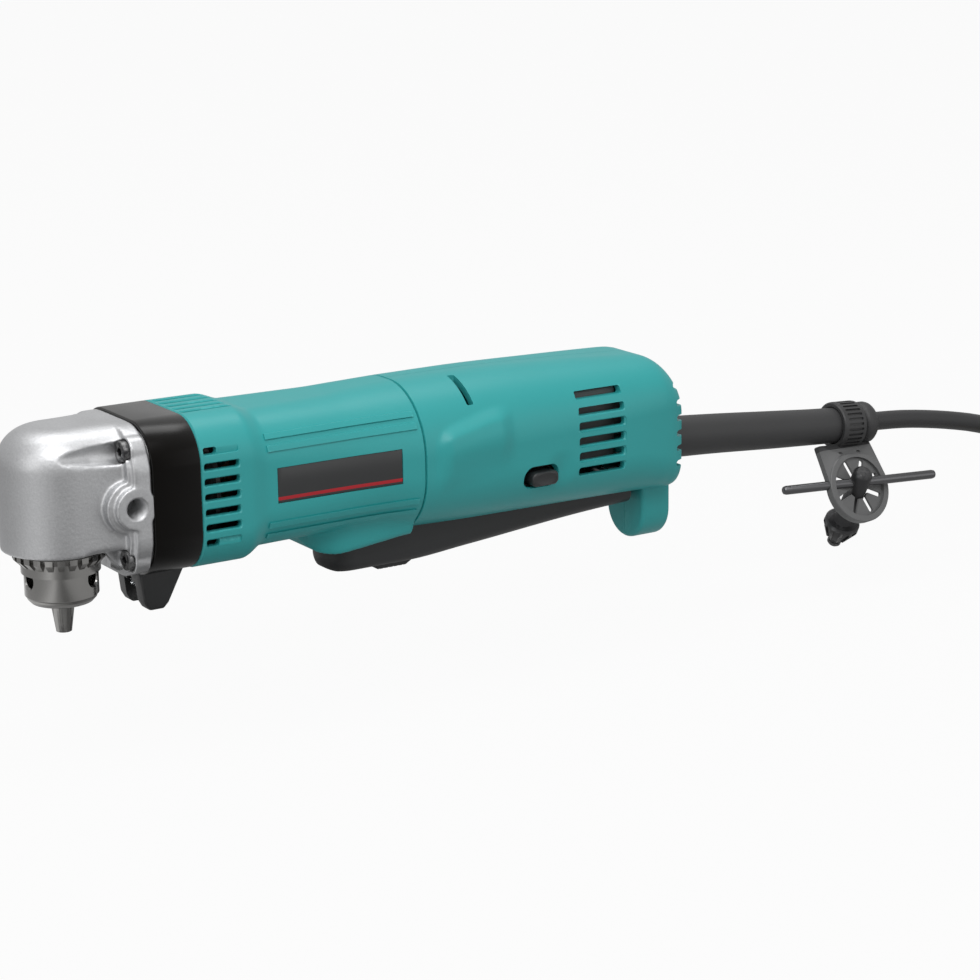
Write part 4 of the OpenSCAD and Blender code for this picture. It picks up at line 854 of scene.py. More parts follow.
def machine_head(head):
    """Bores for the bearings and gears, tapped holes for a side handle, and the flange's screw holes."""
    gear_low, gear_high = box_mm("bevel_gear")
    lower, upper = box_mm("spindle_lower_bearing"), box_mm("spindle_upper_bearing")
    retainer, front = box_mm("bearing_retainer"), box_mm("countershaft_front_bearing")
    snug, room, gear_room = 0.05, 0.4, 1.1
    spindle = (SPINDLE_X, 0)
    cut(head, block((FLANGE_BACK, FLANGE_BACK + 20), (-60, 60), (-60, 60)))
    cut(head, rod("z", 16.9, -60, HEAD_LOW + 0.3, spindle, 96))
    bores = [((retainer[1].y - retainer[0].y) / 2 + room, HEAD_LOW - 3, lower[0].z + 0.2),
             ((lower[1].y - lower[0].y) / 2 + snug, lower[0].z, gear_low.z - 0.2),
             ((gear_high.x - gear_low.x) / 2 + gear_room, gear_low.z - 0.3,
              min(gear_high.z, upper[0].z) - 0.1),
             ((upper[1].y - upper[0].y) / 2 + snug, gear_high.z - 3, upper[1].z + 0.2)]
    cut(head, *[rod("z", r, a, b, spindle) for r, a, b in bores])
    shaft = (0, (front[0].z + front[1].z) / 2)
    cut(head, rod("x", (front[1].z - front[0].z) / 2 + snug, front[0].x - 0.2, FLANGE_BACK + 1, shaft))
    cut(head, rod("x", 8.6, SPINDLE_X, FLANGE_BACK, shaft))
    for side in SIDES:
        tap = lathe(thread_profile(3.5, 1.25, 16, HANDLE_FACE), "y", (HANDLE_X, 0), 64)
        cut(head, placed(tap, Matrix.Diagonal((1, side, 1, 1))))
    for at in FLANGE_SCREWS:
        cut(head, rod("x", 3.8, SCREW_SEAT - 6, SCREW_SEAT, at, 48))
        cut(head, rod("x", 2.2, SCREW_SEAT - 1, FLANGE_BACK + 1, at, 32))


finished(gear_head(), "gear_head", CAST, "housing", "gear_housing", sharp=50)


def socket_screw(head_r, head_h, shank_r, length, key_r):
    """A screw along +X with its seat at 0: a rounded socket head with a six-sided hole."""
    screw = lathe([(0, length), (shank_r - 0.3, length), (shank_r, length - 0.5), (shank_r, 0), (head_r, 0),
                   (head_r, 0.5 - head_h), (head_r - 0.2, 0.15 - head_h), (head_r - 0.5, -head_h),
                   (0, -head_h)], "x", steps=48)
    hole = lathe([(0, 0.4), (key_r, -0.2), (key_r, -head_h + 0.3), (key_r + 0.35, -head_h - 0.05),
                  (key_r + 0.35, -head_h - 2), (0, -head_h - 2)], "x", steps=6)
    return cut(screw, placed(hole, Matrix.Translation((-1.2, 0, 0))))


flange_seats = [(SCREW_SEAT, y, z) for y, z in FLANGE_SCREWS]
flange_screws = seated(flange_seats, socket_screw(3.6, 3.2, 1.95, 32.0, 1.8), SCREW)
finished(flange_screws, "flange_screws", SCREW, "housing", "gear_housing_screws")


# Keyed chuck
KEY_HOLES = (65, 185, 305)


def chuck_sleeve():
    sleeve = lathe([(5.0, -35.3), (9.8, -35.3), (10.6, -35.0), (11.9, -33.6), (12.0, -32.9), (12.7, -32.3),
                    (12.7, -15.0), (12.2, -13.4), (6.5, -13.4), (6.5, -20), (5.0, -21)],
                   "z", (SPINDLE_X, 0), 144)
    for a in KEY_HOLES:
        turn = Matrix.Translation((SPINDLE_X, 0, -26.0)) @ turned(a, "Z")
        hole = lathe([(0, 4), (2.8, 4), (2.8, 11.9), (3.3, 12.6), (3.3, 20), (0, 20)], "x", steps=48)
        cut(sleeve, placed(hole, turn))
    return sleeve


finished(chuck_sleeve(), "chuck_sleeve", CHUCK, "spindle", "chuck_body")


def toothed_ring():
    ring = lathe([(12.9, -21.4), (13.7, -21.4), (16.2, -18.9), (16.2, -17.0), (15.9, -16.6), (15.4, -16.4),
                  (13.4, -16.4), (12.9, -16.9)], steps=144)
    gap = plate([(-1.0, -1.6), (1.0, -1.6), (0.8, 2.0), (-0.8, 2.0)], "x", -6, 6)
    lean = Matrix.Translation((15.0, 0, -20.9)) @ turned(-45, "Y")
    ring_cut(ring, placed(gap, lean), 24, CHUCK)
    return placed(ring, Matrix.Translation((SPINDLE_X, 0, 0)))


finished(toothed_ring(), "chuck_toothed_ring", CHUCK, "chuck_ring", "chuck_ring")
for number in (1, 2, 3):
    finished(from_frame(f"chuck_jaw_{number}"), f"jaw_{number}_ground", CHUCK, f"jaw_{number}",
             f"chuck_jaw_{number}", sharp=28)


# Black band behind the flange
def band():
    outer = soften(plate(rounded_box(BODY_HALF_W, BODY_HALF_H, BODY_R, 24), "x", FLANGE_BACK + 0.12,
                         BAND_END - 0.12), 0.45, 3)
    high = box_mm("bearing_box")[1]
    return cut(outer, plate(rounded_box(high.y + 0.1, high.z + 0.1, 12.5, 16), "x", -90, -40))


finished(band(), "band", BAND, "housing", "housing_band")


# Lamp guard: two legs under the band, a bridge between them and the lens
def lamp_legs():
    outline = fillet([(-73.4, -26.4, 0), (-72, -38.4, 3.5), (-70.2, -41.6, 2), (-64.6, -41.6, 1.6),
                      (-62.6, -39.6, 2), (-55.6, -26.4, 0)])
    guard = soften(plate(outline, "y", -10, 10), 1.0, 3)
    cut(guard, block((-74, -50), (-4.5, 4.5), (-50, -32)), block((-63.2, -50), (-4.5, 4.5), (-50, -35)))
    cut(guard, rod("x", 2.2, -74, -66, (0, -30.6)))
    cut(guard, block((-80, -50), (-30, 30), (-27, 0)))
    return guard


finished(lamp_legs(), "lamp_legs", BLACK, "housing", "lamp_guard")
finished(from_frame("lamp_lens", 0.25), "lamp_window", LENS, "housing", "lamp_lens")


# Motor housing: a barrel whose radius is known round its axis, run together with the skirt below it
# A housing's stations hold x, half its width, its top, its bottom and its upper and lower corners' radii
MOTOR = [(BAND_END, 27.5, 27, 27, 16, 15), (COLLAR_END, 27.5, 27, 27, 16.5, 15),
         (-30, 26.2, 24.7, 24, 17, 16), (0.5, 26.5, 24.9, 24, 20, 18), (15, 27.4, 25.6, 25, 23, 21),
         (SEAM_X, 28.2, 26.2, 28, 25, 23)]
# The skirt's stations hold x, half its width and its bottom
SKIRT = [(-12, 1, 18), (-9.8, 3, 23.6), (-7.8, 6.5, 27.4), (-6.2, 10, 29.6), (-3.6, 12.7, 31.2),
         (1.4, 15.5, 31.9), (7, 17, 31.2), (SEAM_X, 18, 28.2)]
LINE_GAP, LINE_DEEP = 0.55, 1.6
ROUND = np.linspace(0, 2 * math.pi, 272, endpoint=False)


def barrel_radius(x):
    outline = np.array(housing_section(*steady(MOTOR, x)))
    angle = np.arctan2(outline[:, 1], outline[:, 0])
    return np.interp(ROUND, angle, np.hypot(outline[:, 0], outline[:, 1]), period=2 * math.pi)


def motor_radius(x):
    """Barrel and skirt in one: the skirt is an oblong seen from the axis, and both meet in a soft hollow."""
    half, low = steady(SKIRT, x)
    down, aside = np.maximum(-np.sin(ROUND), 1e-3), np.maximum(np.abs(np.cos(ROUND)), 1e-3)
    skirt = np.where(-np.sin(ROUND) > 0.35, soft_min(low / down, half / aside, 4.0), 0)
    return soft_max(barrel_radius(x), skirt, 5.0)


def motor_ring(x, radius):
    return [(x, r * math.cos(a), r * math.sin(a)) for a, r in zip(ROUND, radius)]


def motor_barrel():
    xs = np.linspace(BAND_END + LINE_GAP, SEAM_X - LINE_GAP, 128)
    rings = [motor_ring(BAND_END, motor_radius(BAND_END) - LINE_GAP)]
    rings += [motor_ring(x, motor_radius(x)) for x in xs]
    rings.append(motor_ring(SEAM_X, motor_radius(SEAM_X) - LINE_GAP))
    return skin(rings)


RIB_FROM, RIB_TO, RIB_STAND = -31.0, 29.0, 0.55
RIBS = [(16.5, 18.2), (12.4, 14.5), (-15.0, -12.9), (-19.0, -17.3)]


def grip_ribs():
    """Raised strips along both sides of the grip: slices of a slightly larger barrel."""
    larger = skin([motor_ring(x, barrel_radius(x) + RIB_STAND) for x in np.linspace(RIB_FROM, RIB_TO, 40)])
    kept(larger, joined(*[block((RIB_FROM + 0.2, RIB_TO - 0.2), (-40, 40), rib) for rib in RIBS]))
    return cut(larger, block((-60, 60), (-15, 15), (-40, 40)))


def vent_cutter(side, x0, x1, h, depth, face, flare=0.45, r=0.9):
    """A slot's cutter with a wider mouth at the wall's face."""
    mid, half = (x0 + x1) / 2, (x1 - x0) / 2
    slot = shifted(rounded_box(half, h / 2, r, 5), mid, 0)
    mouth = shifted(rounded_box(half + flare, h / 2 + flare, r + flare, 5), mid, 0)
    return side_loft(side, [(slot, face - depth), (slot, face - flare), (mouth, face + 0.05),
                            (mouth, face + 6)])


VENT_X, VENT_H, VENT_PITCH = -55.8, 2.6, 5.35
# Rows of side vents: two ends in x, depth, how far their face lies in, count and pitches from one to the next
SIDE_VENTS = [(VENT_X, -42.4, 12, 0, 5, 1), (VENT_X, -50.6, 12, 0.2, 2, 6), (-51.5, -42.4, 1.0, 0.2, 2, 6)]
TOP_VENTS, TOP_VENT_H, TOP_VENT_PITCH = [(VENT_X, -46.5, 8), (-47.5, -36.5, 0.9)], 2.3, 5.3


def collar_vents(barrel):
    """Slots through the collar that run on as shallow grooves, on both sides and on top."""
    for side in SIDES:
        for x0, x1, depth, inset, count, apart in SIDE_VENTS:
            cutter = vent_cutter(side, x0, x1, VENT_H, depth, BODY_HALF_W - inset)
            first = (1 - count) / 2 * apart * VENT_PITCH
            row_cut(barrel, cutter, count, (0, 0, first), (0, 0, apart * VENT_PITCH), TEAL)
    upward = Matrix(((1, 0, 0, 0), (0, 0, -1, 0), (0, 1, 0, 0), (0, 0, 0, 1)))
    for x0, x1, depth in TOP_VENTS:
        top = placed(vent_cutter(1, x0, x1, TOP_VENT_H, depth, BODY_HALF_H), upward)
        row_cut(barrel, top, 5, (0, -2 * TOP_VENT_PITCH, 0), (0, TOP_VENT_PITCH, 0), TEAL)


SLOT_FRONT, SLOT_HALF, SLOT_ROOF, REAR_SLOT_ROOF = -0.2, 11.2, -24.2, -22.3
PLATE_ROOM = 0.12


def motor_housing():
    barrel = motor_barrel()
    joined(barrel, grip_ribs())
    chamber_end = box_mm("air_baffle")[0].x - 0.2
    core_high = box_mm("field_core")[1]
    bearing_low, bearing_high = box_mm("motor_rear_bearing")
    chamber = rounded_box(BODY_HALF_W - WALL, BODY_HALF_H - WALL, BODY_R - WALL, 12)
    cut(barrel, plate(chamber, "x", BAND_END - 2, chamber_end))
    cut(barrel, rod("x", core_high.z + 0.06, chamber_end - 0.1, bearing_low.x - 0.2, steps=96))
    cut(barrel, rod("x", bearing_high.z + 0.06, bearing_low.x - 0.4, bearing_high.x + 0.1))
    cut(barrel, rod("x", bearing_high.z - 2, bearing_low.x, SEAM_X + 1))
    collar_vents(barrel)
    slot = fillet([(SLOT_FRONT, -SLOT_HALF, SLOT_HALF - 0.1), (40, -SLOT_HALF, 0), (40, SLOT_HALF, 0),
                   (SLOT_FRONT, SLOT_HALF, SLOT_HALF - 0.1)], 20)
    cut(barrel, plate(slot, "z", -60, SLOT_ROOF))
    low, high = box_mm("name_plate")
    cut(barrel, block((low.x - PLATE_ROOM, high.x + PLATE_ROOM), (-40, high.y),
                      (low.z - PLATE_ROOM, high.z + PLATE_ROOM)))
    return barrel


finished(motor_housing(), "motor_shell", TEAL, "housing", "motor_housing")


def bare_plate():
    """A foil plate that follows the barrel's side, a little proud of it."""
    low, high = box_mm("name_plate")
    rings = []
    for x in np.linspace(low.x, high.x, 25):
        face = -float(steady(MOTOR, x)[0]) + 0.12
        rings.append([(x, face, low.z), (x, high.y, low.z), (x, high.y, high.z), (x, face, high.z)])
    return soften(skin(rings), 0.25, 2, 40)


finished(bare_plate(), "bare_plate", PLATE, "housing", "name_plate")


# Rear housing: two halves that part along the middle, with the foot behind the paddle
# Its last two stations lie behind its end and only lead the curves there
REAR = [(SEAM_X, 28.2, 26.2, 28, 25, 23), (59, 28.2, 26.3, 28.5, 25, 22), (100, 27.6, 25.2, 28.5, 23, 20),
        (128, 27.0, 23.9, 28.5, 20, 18), (134, 26.7, 23.5, 28.5, 19, 17), (138, 26.4, 22.7, 28.5, 18, 16),
        (141, 25.9, 21.2, 28.5, 17, 15), (144, 25.0, 18.4, 28.4, 15, 13), (146.5, 23.8, 14.6, 28.0, 13, 12),
        (148.5, 22.4, 10.4, 27.0, 11, 11), (150, 22.4, 10.4, 27.0, 11, 11)]
THUMB_LINE = [(34.5, 7.2), (40.4, 11.2), (50.8, 13.9), (60.2, 15.7), (69, 16.2)]
THUMB_SWELL = 2.2
DISH_AT, DISH_R, DISH_DEEP = (89.5, -11), 8, 1.1
SIDE_FROM = 12
FINE_ARC, PLAIN_ARC = 64, 30
END_ROUND = 0.9


def thumb_rest(x, z):
    """How proud the wall stands at the thumb rest: it swells below a line, then runs out slowly."""
    below = steady(THUMB_LINE, x)[0] - z
    swell = THUMB_SWELL * ease(-0.4, 4.8, below) * (1 - ease(8, 25, below))
    return float(swell * ease(34.5, 42, x) * (1 - ease(62, 70, x)))


def finger_dish(x, z):
    """How deep the wall lies in the round hollow behind the reversing button."""
    return DISH_DEEP * (1 - ease(0, DISH_R, math.hypot(x - DISH_AT[0], z - DISH_AT[1])))


def rear_ring(x, inset=0.0, relief=False):
    half, top, low, r_up, r_low = steady(REAR, x)
    arcs = FINE_ARC if relief else PLAIN_ARC
    ring = housing_section(half - inset, top - inset, low - inset, r_up - inset, r_low - inset, arcs)
    out = []
    for y, z in ring:
        proud = thumb_rest(x, z) - finger_dish(x, z) if relief and abs(y) > SIDE_FROM else 0.0
        out.append((x, y + math.copysign(1, y) * proud, z))
    return out


def rear_loft(inset=0.0, start=SEAM_X, step=2.0, relief=False):
    end = REAR_X - inset
    gap, lip = (0, 0) if inset else (LINE_GAP, END_ROUND)
    xs = np.linspace(start + gap, end - lip, int((end - start) / step))
    rings = [rear_ring(x, inset, relief) for x in xs]
    if not inset:
        rings.insert(0, [(start, y, z) for _, y, z in rear_ring(start, LINE_DEEP, relief)])
        rings.append([(end, y, z) for _, y, z in rear_ring(end, END_ROUND, relief)])
    return skin(rings)


POST_INSET = 1.9
FOOT_X, FOOT_HALF = (136.6, 149.8), 12.0
REAR_SCREWS = [(43.0, 17.5), (122.5, 15.0), (122.5, -8.0)]
PIVOT = (127.0, -23.5)
REAR_VENT_X, REAR_VENT_H, REAR_VENT_PITCH, REAR_VENT_Z = (97.6, 118.0), 3.0, 5.66, -13.4
REVERSE_X, REVERSE_Z, REVERSE_HALF = 81.5, -13.0, (5.8, 2.7)
POCKET_AT = (REVERSE_X - 0.8, REVERSE_Z + 0.5)
SCALLOPS, SCALLOP_X, SCALLOP_R, SCALLOP_TOP, SCALLOP_PITCH = 6, 144.2, 1.2, 12, 5.8


def foot():
    outline = (ring_line((FOOT_HALF, -38), (FOOT_HALF, -20), 2) + [(FOOT_HALF, -20), (-FOOT_HALF, -20)]
               + arc(0, -38, FOOT_HALF, 180, 360, 40))
    return soften(plate(outline, "x", *FOOT_X), 1.6, 4, 40)


def rear_shell():
    shell = rear_loft(0, step=0.8, relief=True)
    joined(shell, foot())
    cut(shell, rear_loft(WALL, SEAM_X - 1, 2.5))
    posts = [rod("y", 3.6, -40, 40, b) for b in REAR_SCREWS] + [rod("y", 4.6, -40, 40, PIVOT)]
    posts += [block((71.5, 91.5), span(side, 18, 40), (-20, -6)) for side in SIDES]
    joined(shell, *[kept(post, rear_loft(POST_INSET, SEAM_X + 1, 2.5)) for post in posts])
    cut_rear(shell)
    return shell


def edge_scallop(side):
    notch = [(SCALLOP_X, -SCALLOP_R), (152, -1.6), (152, 1.6), (SCALLOP_X, SCALLOP_R)]
    return plate(notch + arc(SCALLOP_X, 0, SCALLOP_R, 90, 270, 10)[1:], "y", *span(side, 12, 40))


def cut_rear(shell):
    for b in REAR_SCREWS:
        cut(shell, rod("y", 1.5, -13, 41, b, 32), lathe([(0, 19), (3.2, 19), (3.2, 60), (0, 60)], "y", b, 48))
    cut(shell, block((SEAM_X - 1, FOOT_X[0]), (-SLOT_HALF, SLOT_HALF), (-60, REAR_SLOT_ROOF)))
    cut(shell, block((PIVOT[0] - 5, FOOT_X[0]), (-SLOT_HALF, SLOT_HALF), (-60, -17)))
    cut(shell, rod("y", 2.02, -15, 15, PIVOT, 32))
    cut(shell, rod("x", 8.4, REAR_X - 20, REAR_X + 1, (0, GUARD_Z)))
    pocket = shifted(rounded_box(7.3, 3.8, 3.6, 10), *POCKET_AT)
    wide = shifted(rounded_box(8.0, 4.5, 4.3, 10), *POCKET_AT)
    tunnel = shifted(rounded_box(REVERSE_HALF[0] + 0.3, REVERSE_HALF[1] + 0.3, 2.4, 10), REVERSE_X, REVERSE_Z)
    cut(shell, plate(tunnel, "y", -60, 60))
    for side in SIDES:
        cut(shell, side_loft(side, [(pocket, 22.4), (pocket, 25.2), (wide, 26.6), (wide, 40)]))
        vent = vent_cutter(side, *REAR_VENT_X, REAR_VENT_H, 14, 26.9, 0.5, 0.8)
        row_cut(shell, vent, 6, (0, 0, REAR_VENT_Z), (0, 0, REAR_VENT_PITCH), TEAL)
        lowest = SCALLOP_TOP - (SCALLOPS - 1) * SCALLOP_PITCH
        row_cut(shell, edge_scallop(side), SCALLOPS, (0, 0, lowest), (0, 0, SCALLOP_PITCH), TEAL)
    slot = fillet([(51.9, -22.5, 0.6), (54.7, -22.5, 0.6), (54.7, -8.7, 0.6), (51.9, -8.7, 0.6)], 3)
    cut(shell, plate(slot, "z", 16, 40))


def teal_with_pocket_shade():
    """The housing's colour, with painted shade: black inside the pocket of the reversing button."""
    material = TEAL.copy()
    material.name = "teal_plastic_rear"
    tree = material.node_tree
    inside = None
    for axis, mid, reach in (("X", POCKET_AT[0], 8.0), ("Y", 0, 24.5), ("Z", POCKET_AT[1], 4.2)):
        off = math_on(tree, "ABSOLUTE", math_on(tree, "SUBTRACT", axis_coordinate(tree, axis), mid * MM))
        near = math_on(tree, "LESS_THAN", off, reach * MM)
        inside = math_on(tree, "MULTIPLY", inside, near) if inside else near
    # Painted shade: the pocket's walls and floor are painted near black where they lie in shade.
    return painted(material, inside, (0.008, 0.008, 0.008))


# The rear shells' teal, with painted shade in the reversing button's pocket.
REAR_TEAL_POCKET_SHADE = teal_with_pocket_shade()
left = rear_shell()
right = bpy.data.objects.new("shape", left.data.copy())
scene.collection.objects.link(right)
PARTING = 0.09
kept(left, block((0, 200), (-60, -PARTING), (-80, 60)))
kept(right, block((0, 200), (PARTING, 60), (-80, 60)))
finished(left, "rear_shell_left", REAR_TEAL_POCKET_SHADE, "housing", "rear_housing_left")
finished(right, "rear_shell_right", REAR_TEAL_POCKET_SHADE, "housing", "rear_housing_right")


def cross_screw():
    """A raised-head screw along -Y with its seat at 0 and a cross in its head."""
    screw = lathe([(0, -31), (1.0, -31), (1.4, -29), (1.4, 0), (2.9, 0), (2.9, 1.7), (2.5, 2.25), (1.6, 2.55),
                   (0, 2.6)], "y", steps=48)
    for turn in (0, 90):
        blade = block((-2.1, 2.1), (0.9, 6), (-0.42, 0.42))
        cut(screw, placed(blade, turned(turn, "Y")))
    return screw


shell_screws = seated([(x, 19.0, z) for x, z in REAR_SCREWS], cross_screw(), SCREW)
finished(shell_screws, "shell_screws", SCREW, "housing", "rear_housing_screws")


def switch_case():
    """The switch with the suppressor behind it, which shows through the rear vents."""
    low, high = box_mm("switch_body")
    case = soften(block((low.x, high.x), (low.y, high.y), (low.z, high.z)), 0.8, 2)
    unit = soften(block((98, 118.2), (-20.5, 9), (-14, 16)), 1.5, 3)
    wing = soften(block((116, 132), (-20, 10), (-3.4, 10.4)), 1.2, 3)
    strap = block((high.x - 4, 100), (-5, 5), (-3, 3))
    return joined(case, unit, wing, strap)


finished(switch_case(), "switch_case", SWITCH, "housing", "switch_body", sharp=30)


# Paddle: a rounded trough under the rear housing, on its pin in front of the foot
PADDLE_HALF, PADDLE_NOSE, PADDLE_END = 10.5, 11.5, 132.4
PADDLE_UNDER = [(1, -36.6), (2, -38.8), (3.6, -40.3), (6.5, -41.2), (12, -41.3), (34, -41.3), (60, -39.4),
                (111, -35.1), (133, -33.9)]
PADDLE_TOP = [(1, -31.0), (32.6, -29.2), (33.6, -27.4), (45, -26.9), (60, -26.4), (118, -24.6),
              (121.6, -24.4), (122.4, -19.0), (133, -19.0)]
LEVER_PIN = (34.5, -37.5)


def paddle_ring(x, inset=0.0, rise=0.0):
    half = PADDLE_HALF - inset
    if x < PADDLE_NOSE:
        half = math.sqrt(max(half ** 2 - (PADDLE_NOSE - x) ** 2, 0.04))
    top = float(np.interp(x, [p[0] for p in PADDLE_TOP], [p[1] for p in PADDLE_TOP]))
    low = -float(steady(PADDLE_UNDER, x)[0]) - inset
    r_low = min(4.2 - inset, half * 0.85)
    section = housing_section(half, top + rise, low, min(0.5, half * 0.4), r_low, 8, 8, 8)
    return [(x, y, z) for y, z in section]


def paddle():
    nose = PADDLE_NOSE - PADDLE_HALF
    xs = list(nose + 0.1 + 10.4 * np.linspace(0, 1, 22) ** 2) + list(np.linspace(12.5, 121.6, 110))
    xs += list(np.linspace(121.9, PADDLE_END, 14))
    body = skin([paddle_ring(x) for x in xs])
    inner = [x for x in xs if x > 4] + [PADDLE_END + 3]
    cut(body, skin([paddle_ring(x, 2.1, 30) for x in inner]))
    cut(body, rod("y", 2.2, -20, 20, PIVOT, 32))
    cut(body, rod("y", 1.05, -9.9, 9.9, LEVER_PIN, 32))
    cut(body, block((20, 43), (-4.4, 4.4), (-60, -30)))
    return body


finished(paddle(), "paddle_trough", BLACK, "paddle", "paddle")


# The paddle's spring, which on the tool shortens as the paddle is squeezed; here it keeps its resting shape,
# on a mesh of its own
return_spring = finished(from_frame("paddle_spring"), "return_spring", INNER["gear_steel"], "housing",
                         "paddle_spring")
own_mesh(return_spring)


def lever():
    outline = fillet([(22, -40.3, 0.8), (24, -43.8, 1.2), (36, -43.8, 1.6), (41.5, -40.6, 1.2),
                      (41.5, -36.4, 1), (31, -35.1, 0.6), (27, -33.5, 0.6), (24, -33.5, 0.6),
                      (25, -38, 1.0)], 4)
    body = soften(plate(outline, "y", -4, 4), 0.35, 2, 50)
    rib = plate([(-0.55, -0.6), (0.55, -0.6), (0.0, 0.75)], "y", -8, 8)
    row_cut(body, placed(rib, Matrix.Translation((24.8, 0, -43.8))), 6, (0, 0, 0), (2, 0, 0), BLACK)
    return cut(body, rod("y", 1.06, -14, 14, LEVER_PIN, 32))


finished(lever(), "lock_lever_ribbed", BLACK, "lock_lever", "lock_lever")


def reversing_button():
    low, high = box_mm("reversing_slide")
    outline = rounded_box(REVERSE_HALF[0] - 0.05, REVERSE_HALF[1] - 0.05, 2.2, 10)
    outline = shifted(outline, REVERSE_X, REVERSE_Z)
    body = soften(plate(outline, "y", low.y, high.y), 1.0, 4, 50)
    hollow = lathe([(0, -3.2), (1.2, -2.4), (2.2, 0), (2.2, 4), (0, 4)], "y", steps=48)
    hollow = placed(hollow, Matrix.Diagonal((2.0, 0.1, 1.0, 1)))
    seat = Matrix.Translation((REVERSE_X, low.y + 0.1, REVERSE_Z)) @ turned(180, "Z")
    return cut(body, placed(hollow, seat))


finished(reversing_button(), "reversing_button", BLACK, "reversing_slide", "reversing_slide")


# Cord guard, a tapered rubber sleeve with a plate inside the housing and a bead at its end
GUARD_LINE = [(139.6, 0, -12.3), (150, 0, -13.0), (179, 0, -15.1), (209, 0, -17.7), (235, 0, -19.8),
              (252.6, 0, -20.84)]
GUARD_R = [(139, 8.1), (150, 8.1), (179, 7.8), (209, 7.5), (235, 7.2), (253, 7.2)]
BEAD_AT, BEAD_LEAN = (252.0, 0, -20.8), 2.9


def guard_sleeve():
    line = through(GUARD_LINE, 12)
    rings = []
    for i, p in enumerate(line):
        way = (line[min(i + 1, len(line) - 1)] - line[max(i - 1, 0)]).normalized()
        side = Vector((-way.z, 0, way.x))
        r = steady(GUARD_R, p.x)[0]
        rings.append([tuple(p + Vector((0, r * math.cos(a), 0)) + side * r * math.sin(a))
                      for a in np.linspace(0, 2 * math.pi, 64, endpoint=False)])
    sleeve = skin(rings)
    root = soften(block((138.75, 140.55), (-9, 9), (GUARD_Z - 8, GUARD_Z + 9)), 0.4, 2)
    bead = lathe([(0, -0.8), (7.0, -0.8), (7.9, -0.2), (8.4, 0.7), (8.5, 1.6), (8.5, 3.2), (8.2, 4.2),
                  (7.4, 5.2), (6.2, 5.9), (4.3, 6.0), (4.1, 5.4), (0, 5.4)])
    lean = turned(90 + BEAD_LEAN, "Y")
    return joined(sleeve, root, placed(bead, Matrix.Translation(BEAD_AT) @ lean))


finished(guard_sleeve(), "guard_sleeve", RUBBER, "housing", "cord_guard", sharp=40)

# Key holder: a ribbed ring on the guard, and a flap whose thin web grips the key
HOLDER_AT, HOLDER_LEAN, HOLDER_SWING = Vector((236, 0, -19.86)), 3.4, 24.0
HOLDER_LEN, DISC_DROP, DISC_R, DISC_LIFT = 14.0, 29.0, 14.6, 4.6
DISC_MID = (HOLDER_LEN / 2, -DISC_DROP)
HOLDER_COLLAR = 10.4
HOLDER_FRAME = (Matrix.Translation(HOLDER_AT) @ turned(HOLDER_LEAN, "Y")
                @ turned(-HOLDER_SWING, "X"))

KEY_YAW, KEY_LEAN, KEY_STAND = -12.0, 35.0, 7.5
DISC_AT = HOLDER_FRAME @ Vector((HOLDER_LEN / 2, 0, -DISC_DROP))
KEY_FRAME = (Matrix.Translation(DISC_AT) @ turned(KEY_YAW, "Z")
             @ turned(KEY_LEAN, "X") @ Matrix.Translation((0, 0, KEY_STAND)))


def holder_ring():
    ring = lathe([(7.6, 2.6), (8.8, 2.6), (9.3, 3.1), (9.4, 4.0), (9.4, 12.6), (9.3, 13.5), (8.8, 14),
                  (7.6, 14)], steps=112)
    groove = plate(shifted(rounded_box(0.55, 3.8, 0.5, 4), 0, 8.3), "x", 8.75, 12)
    ring_cut(ring, groove, 28, RUBBER)
    return placed(ring, turned(90, "Y"))


def holder_flap():
    mid, low = DISC_MID
    neck = fillet([(-7.4, -8.2, 1), (19.4, -8.2, 1), (mid + DISC_R, low + 3, 3),
                   (mid + DISC_R - 3, low - 4, 0), (mid - DISC_R + 3, low - 4, 0),
                   (mid - DISC_R, low + 3, 3)])
    flap = plate(neck, "y", -1.3, 1.3)
    joined(flap, rod("y", DISC_R, -1.3, 1.3, DISC_MID, 96))
    soften(flap, 0.3, 2, 40)
    rim = lathe([(12.0, -1.9), (14.3, -1.9), (14.6, -1.6), (14.6, 1.6), (14.3, 1.9), (12.0, 1.9)], "y",
                DISC_MID, 96)
    joined(flap, rim)
    for side in SIDES:
        cut(flap, rod("y", 12.1, *span(side, 0.55, 4), DISC_MID, 96))
        cut(flap, rod("y", 1.05, -4, 4, (mid + side * 4.6, -13.2), 24))
    return flap


def web_slits(flap):
    """Eight slits from the hole to the rim, cut with the disc's axis brought onto Z."""
    mid = Vector((HOLDER_LEN / 2, 0, -DISC_DROP))
    upright = turned(90, "X") @ Matrix.Translation(-mid)
    placed(flap, upright)
    cut(flap, rod("z", 4.9, -5, 5, steps=48))
    slit = plate(fillet([(4, -1.0, 0), (11.4, -1.0, 0.9), (11.4, 1.0, 0.9), (4, 1.0, 0)], 4), "z", -5, 5)
    ring_cut(flap, placed(slit, turned(22.5, "Z")), 8, RUBBER)
    return placed(flap, upright.inverted())


def lifted(flap):
    """The disc is brought up along the key's axis, and the neck bends to it."""
    axis = HOLDER_FRAME.to_3x3().inverted() @ (KEY_FRAME.to_3x3() @ Vector((0, 0, DISC_LIFT)))
    for vertex in flap.data.vertices:
        vertex.co += axis * float(ease(9, 18, -vertex.co.z))
    return flap


def key_holder():
    holder = lifted(web_slits(holder_flap()))
    cut(holder, rod("x", 8.0, -20, 40, steps=96))
    joined(holder, holder_ring())
    return placed(holder, HOLDER_FRAME)


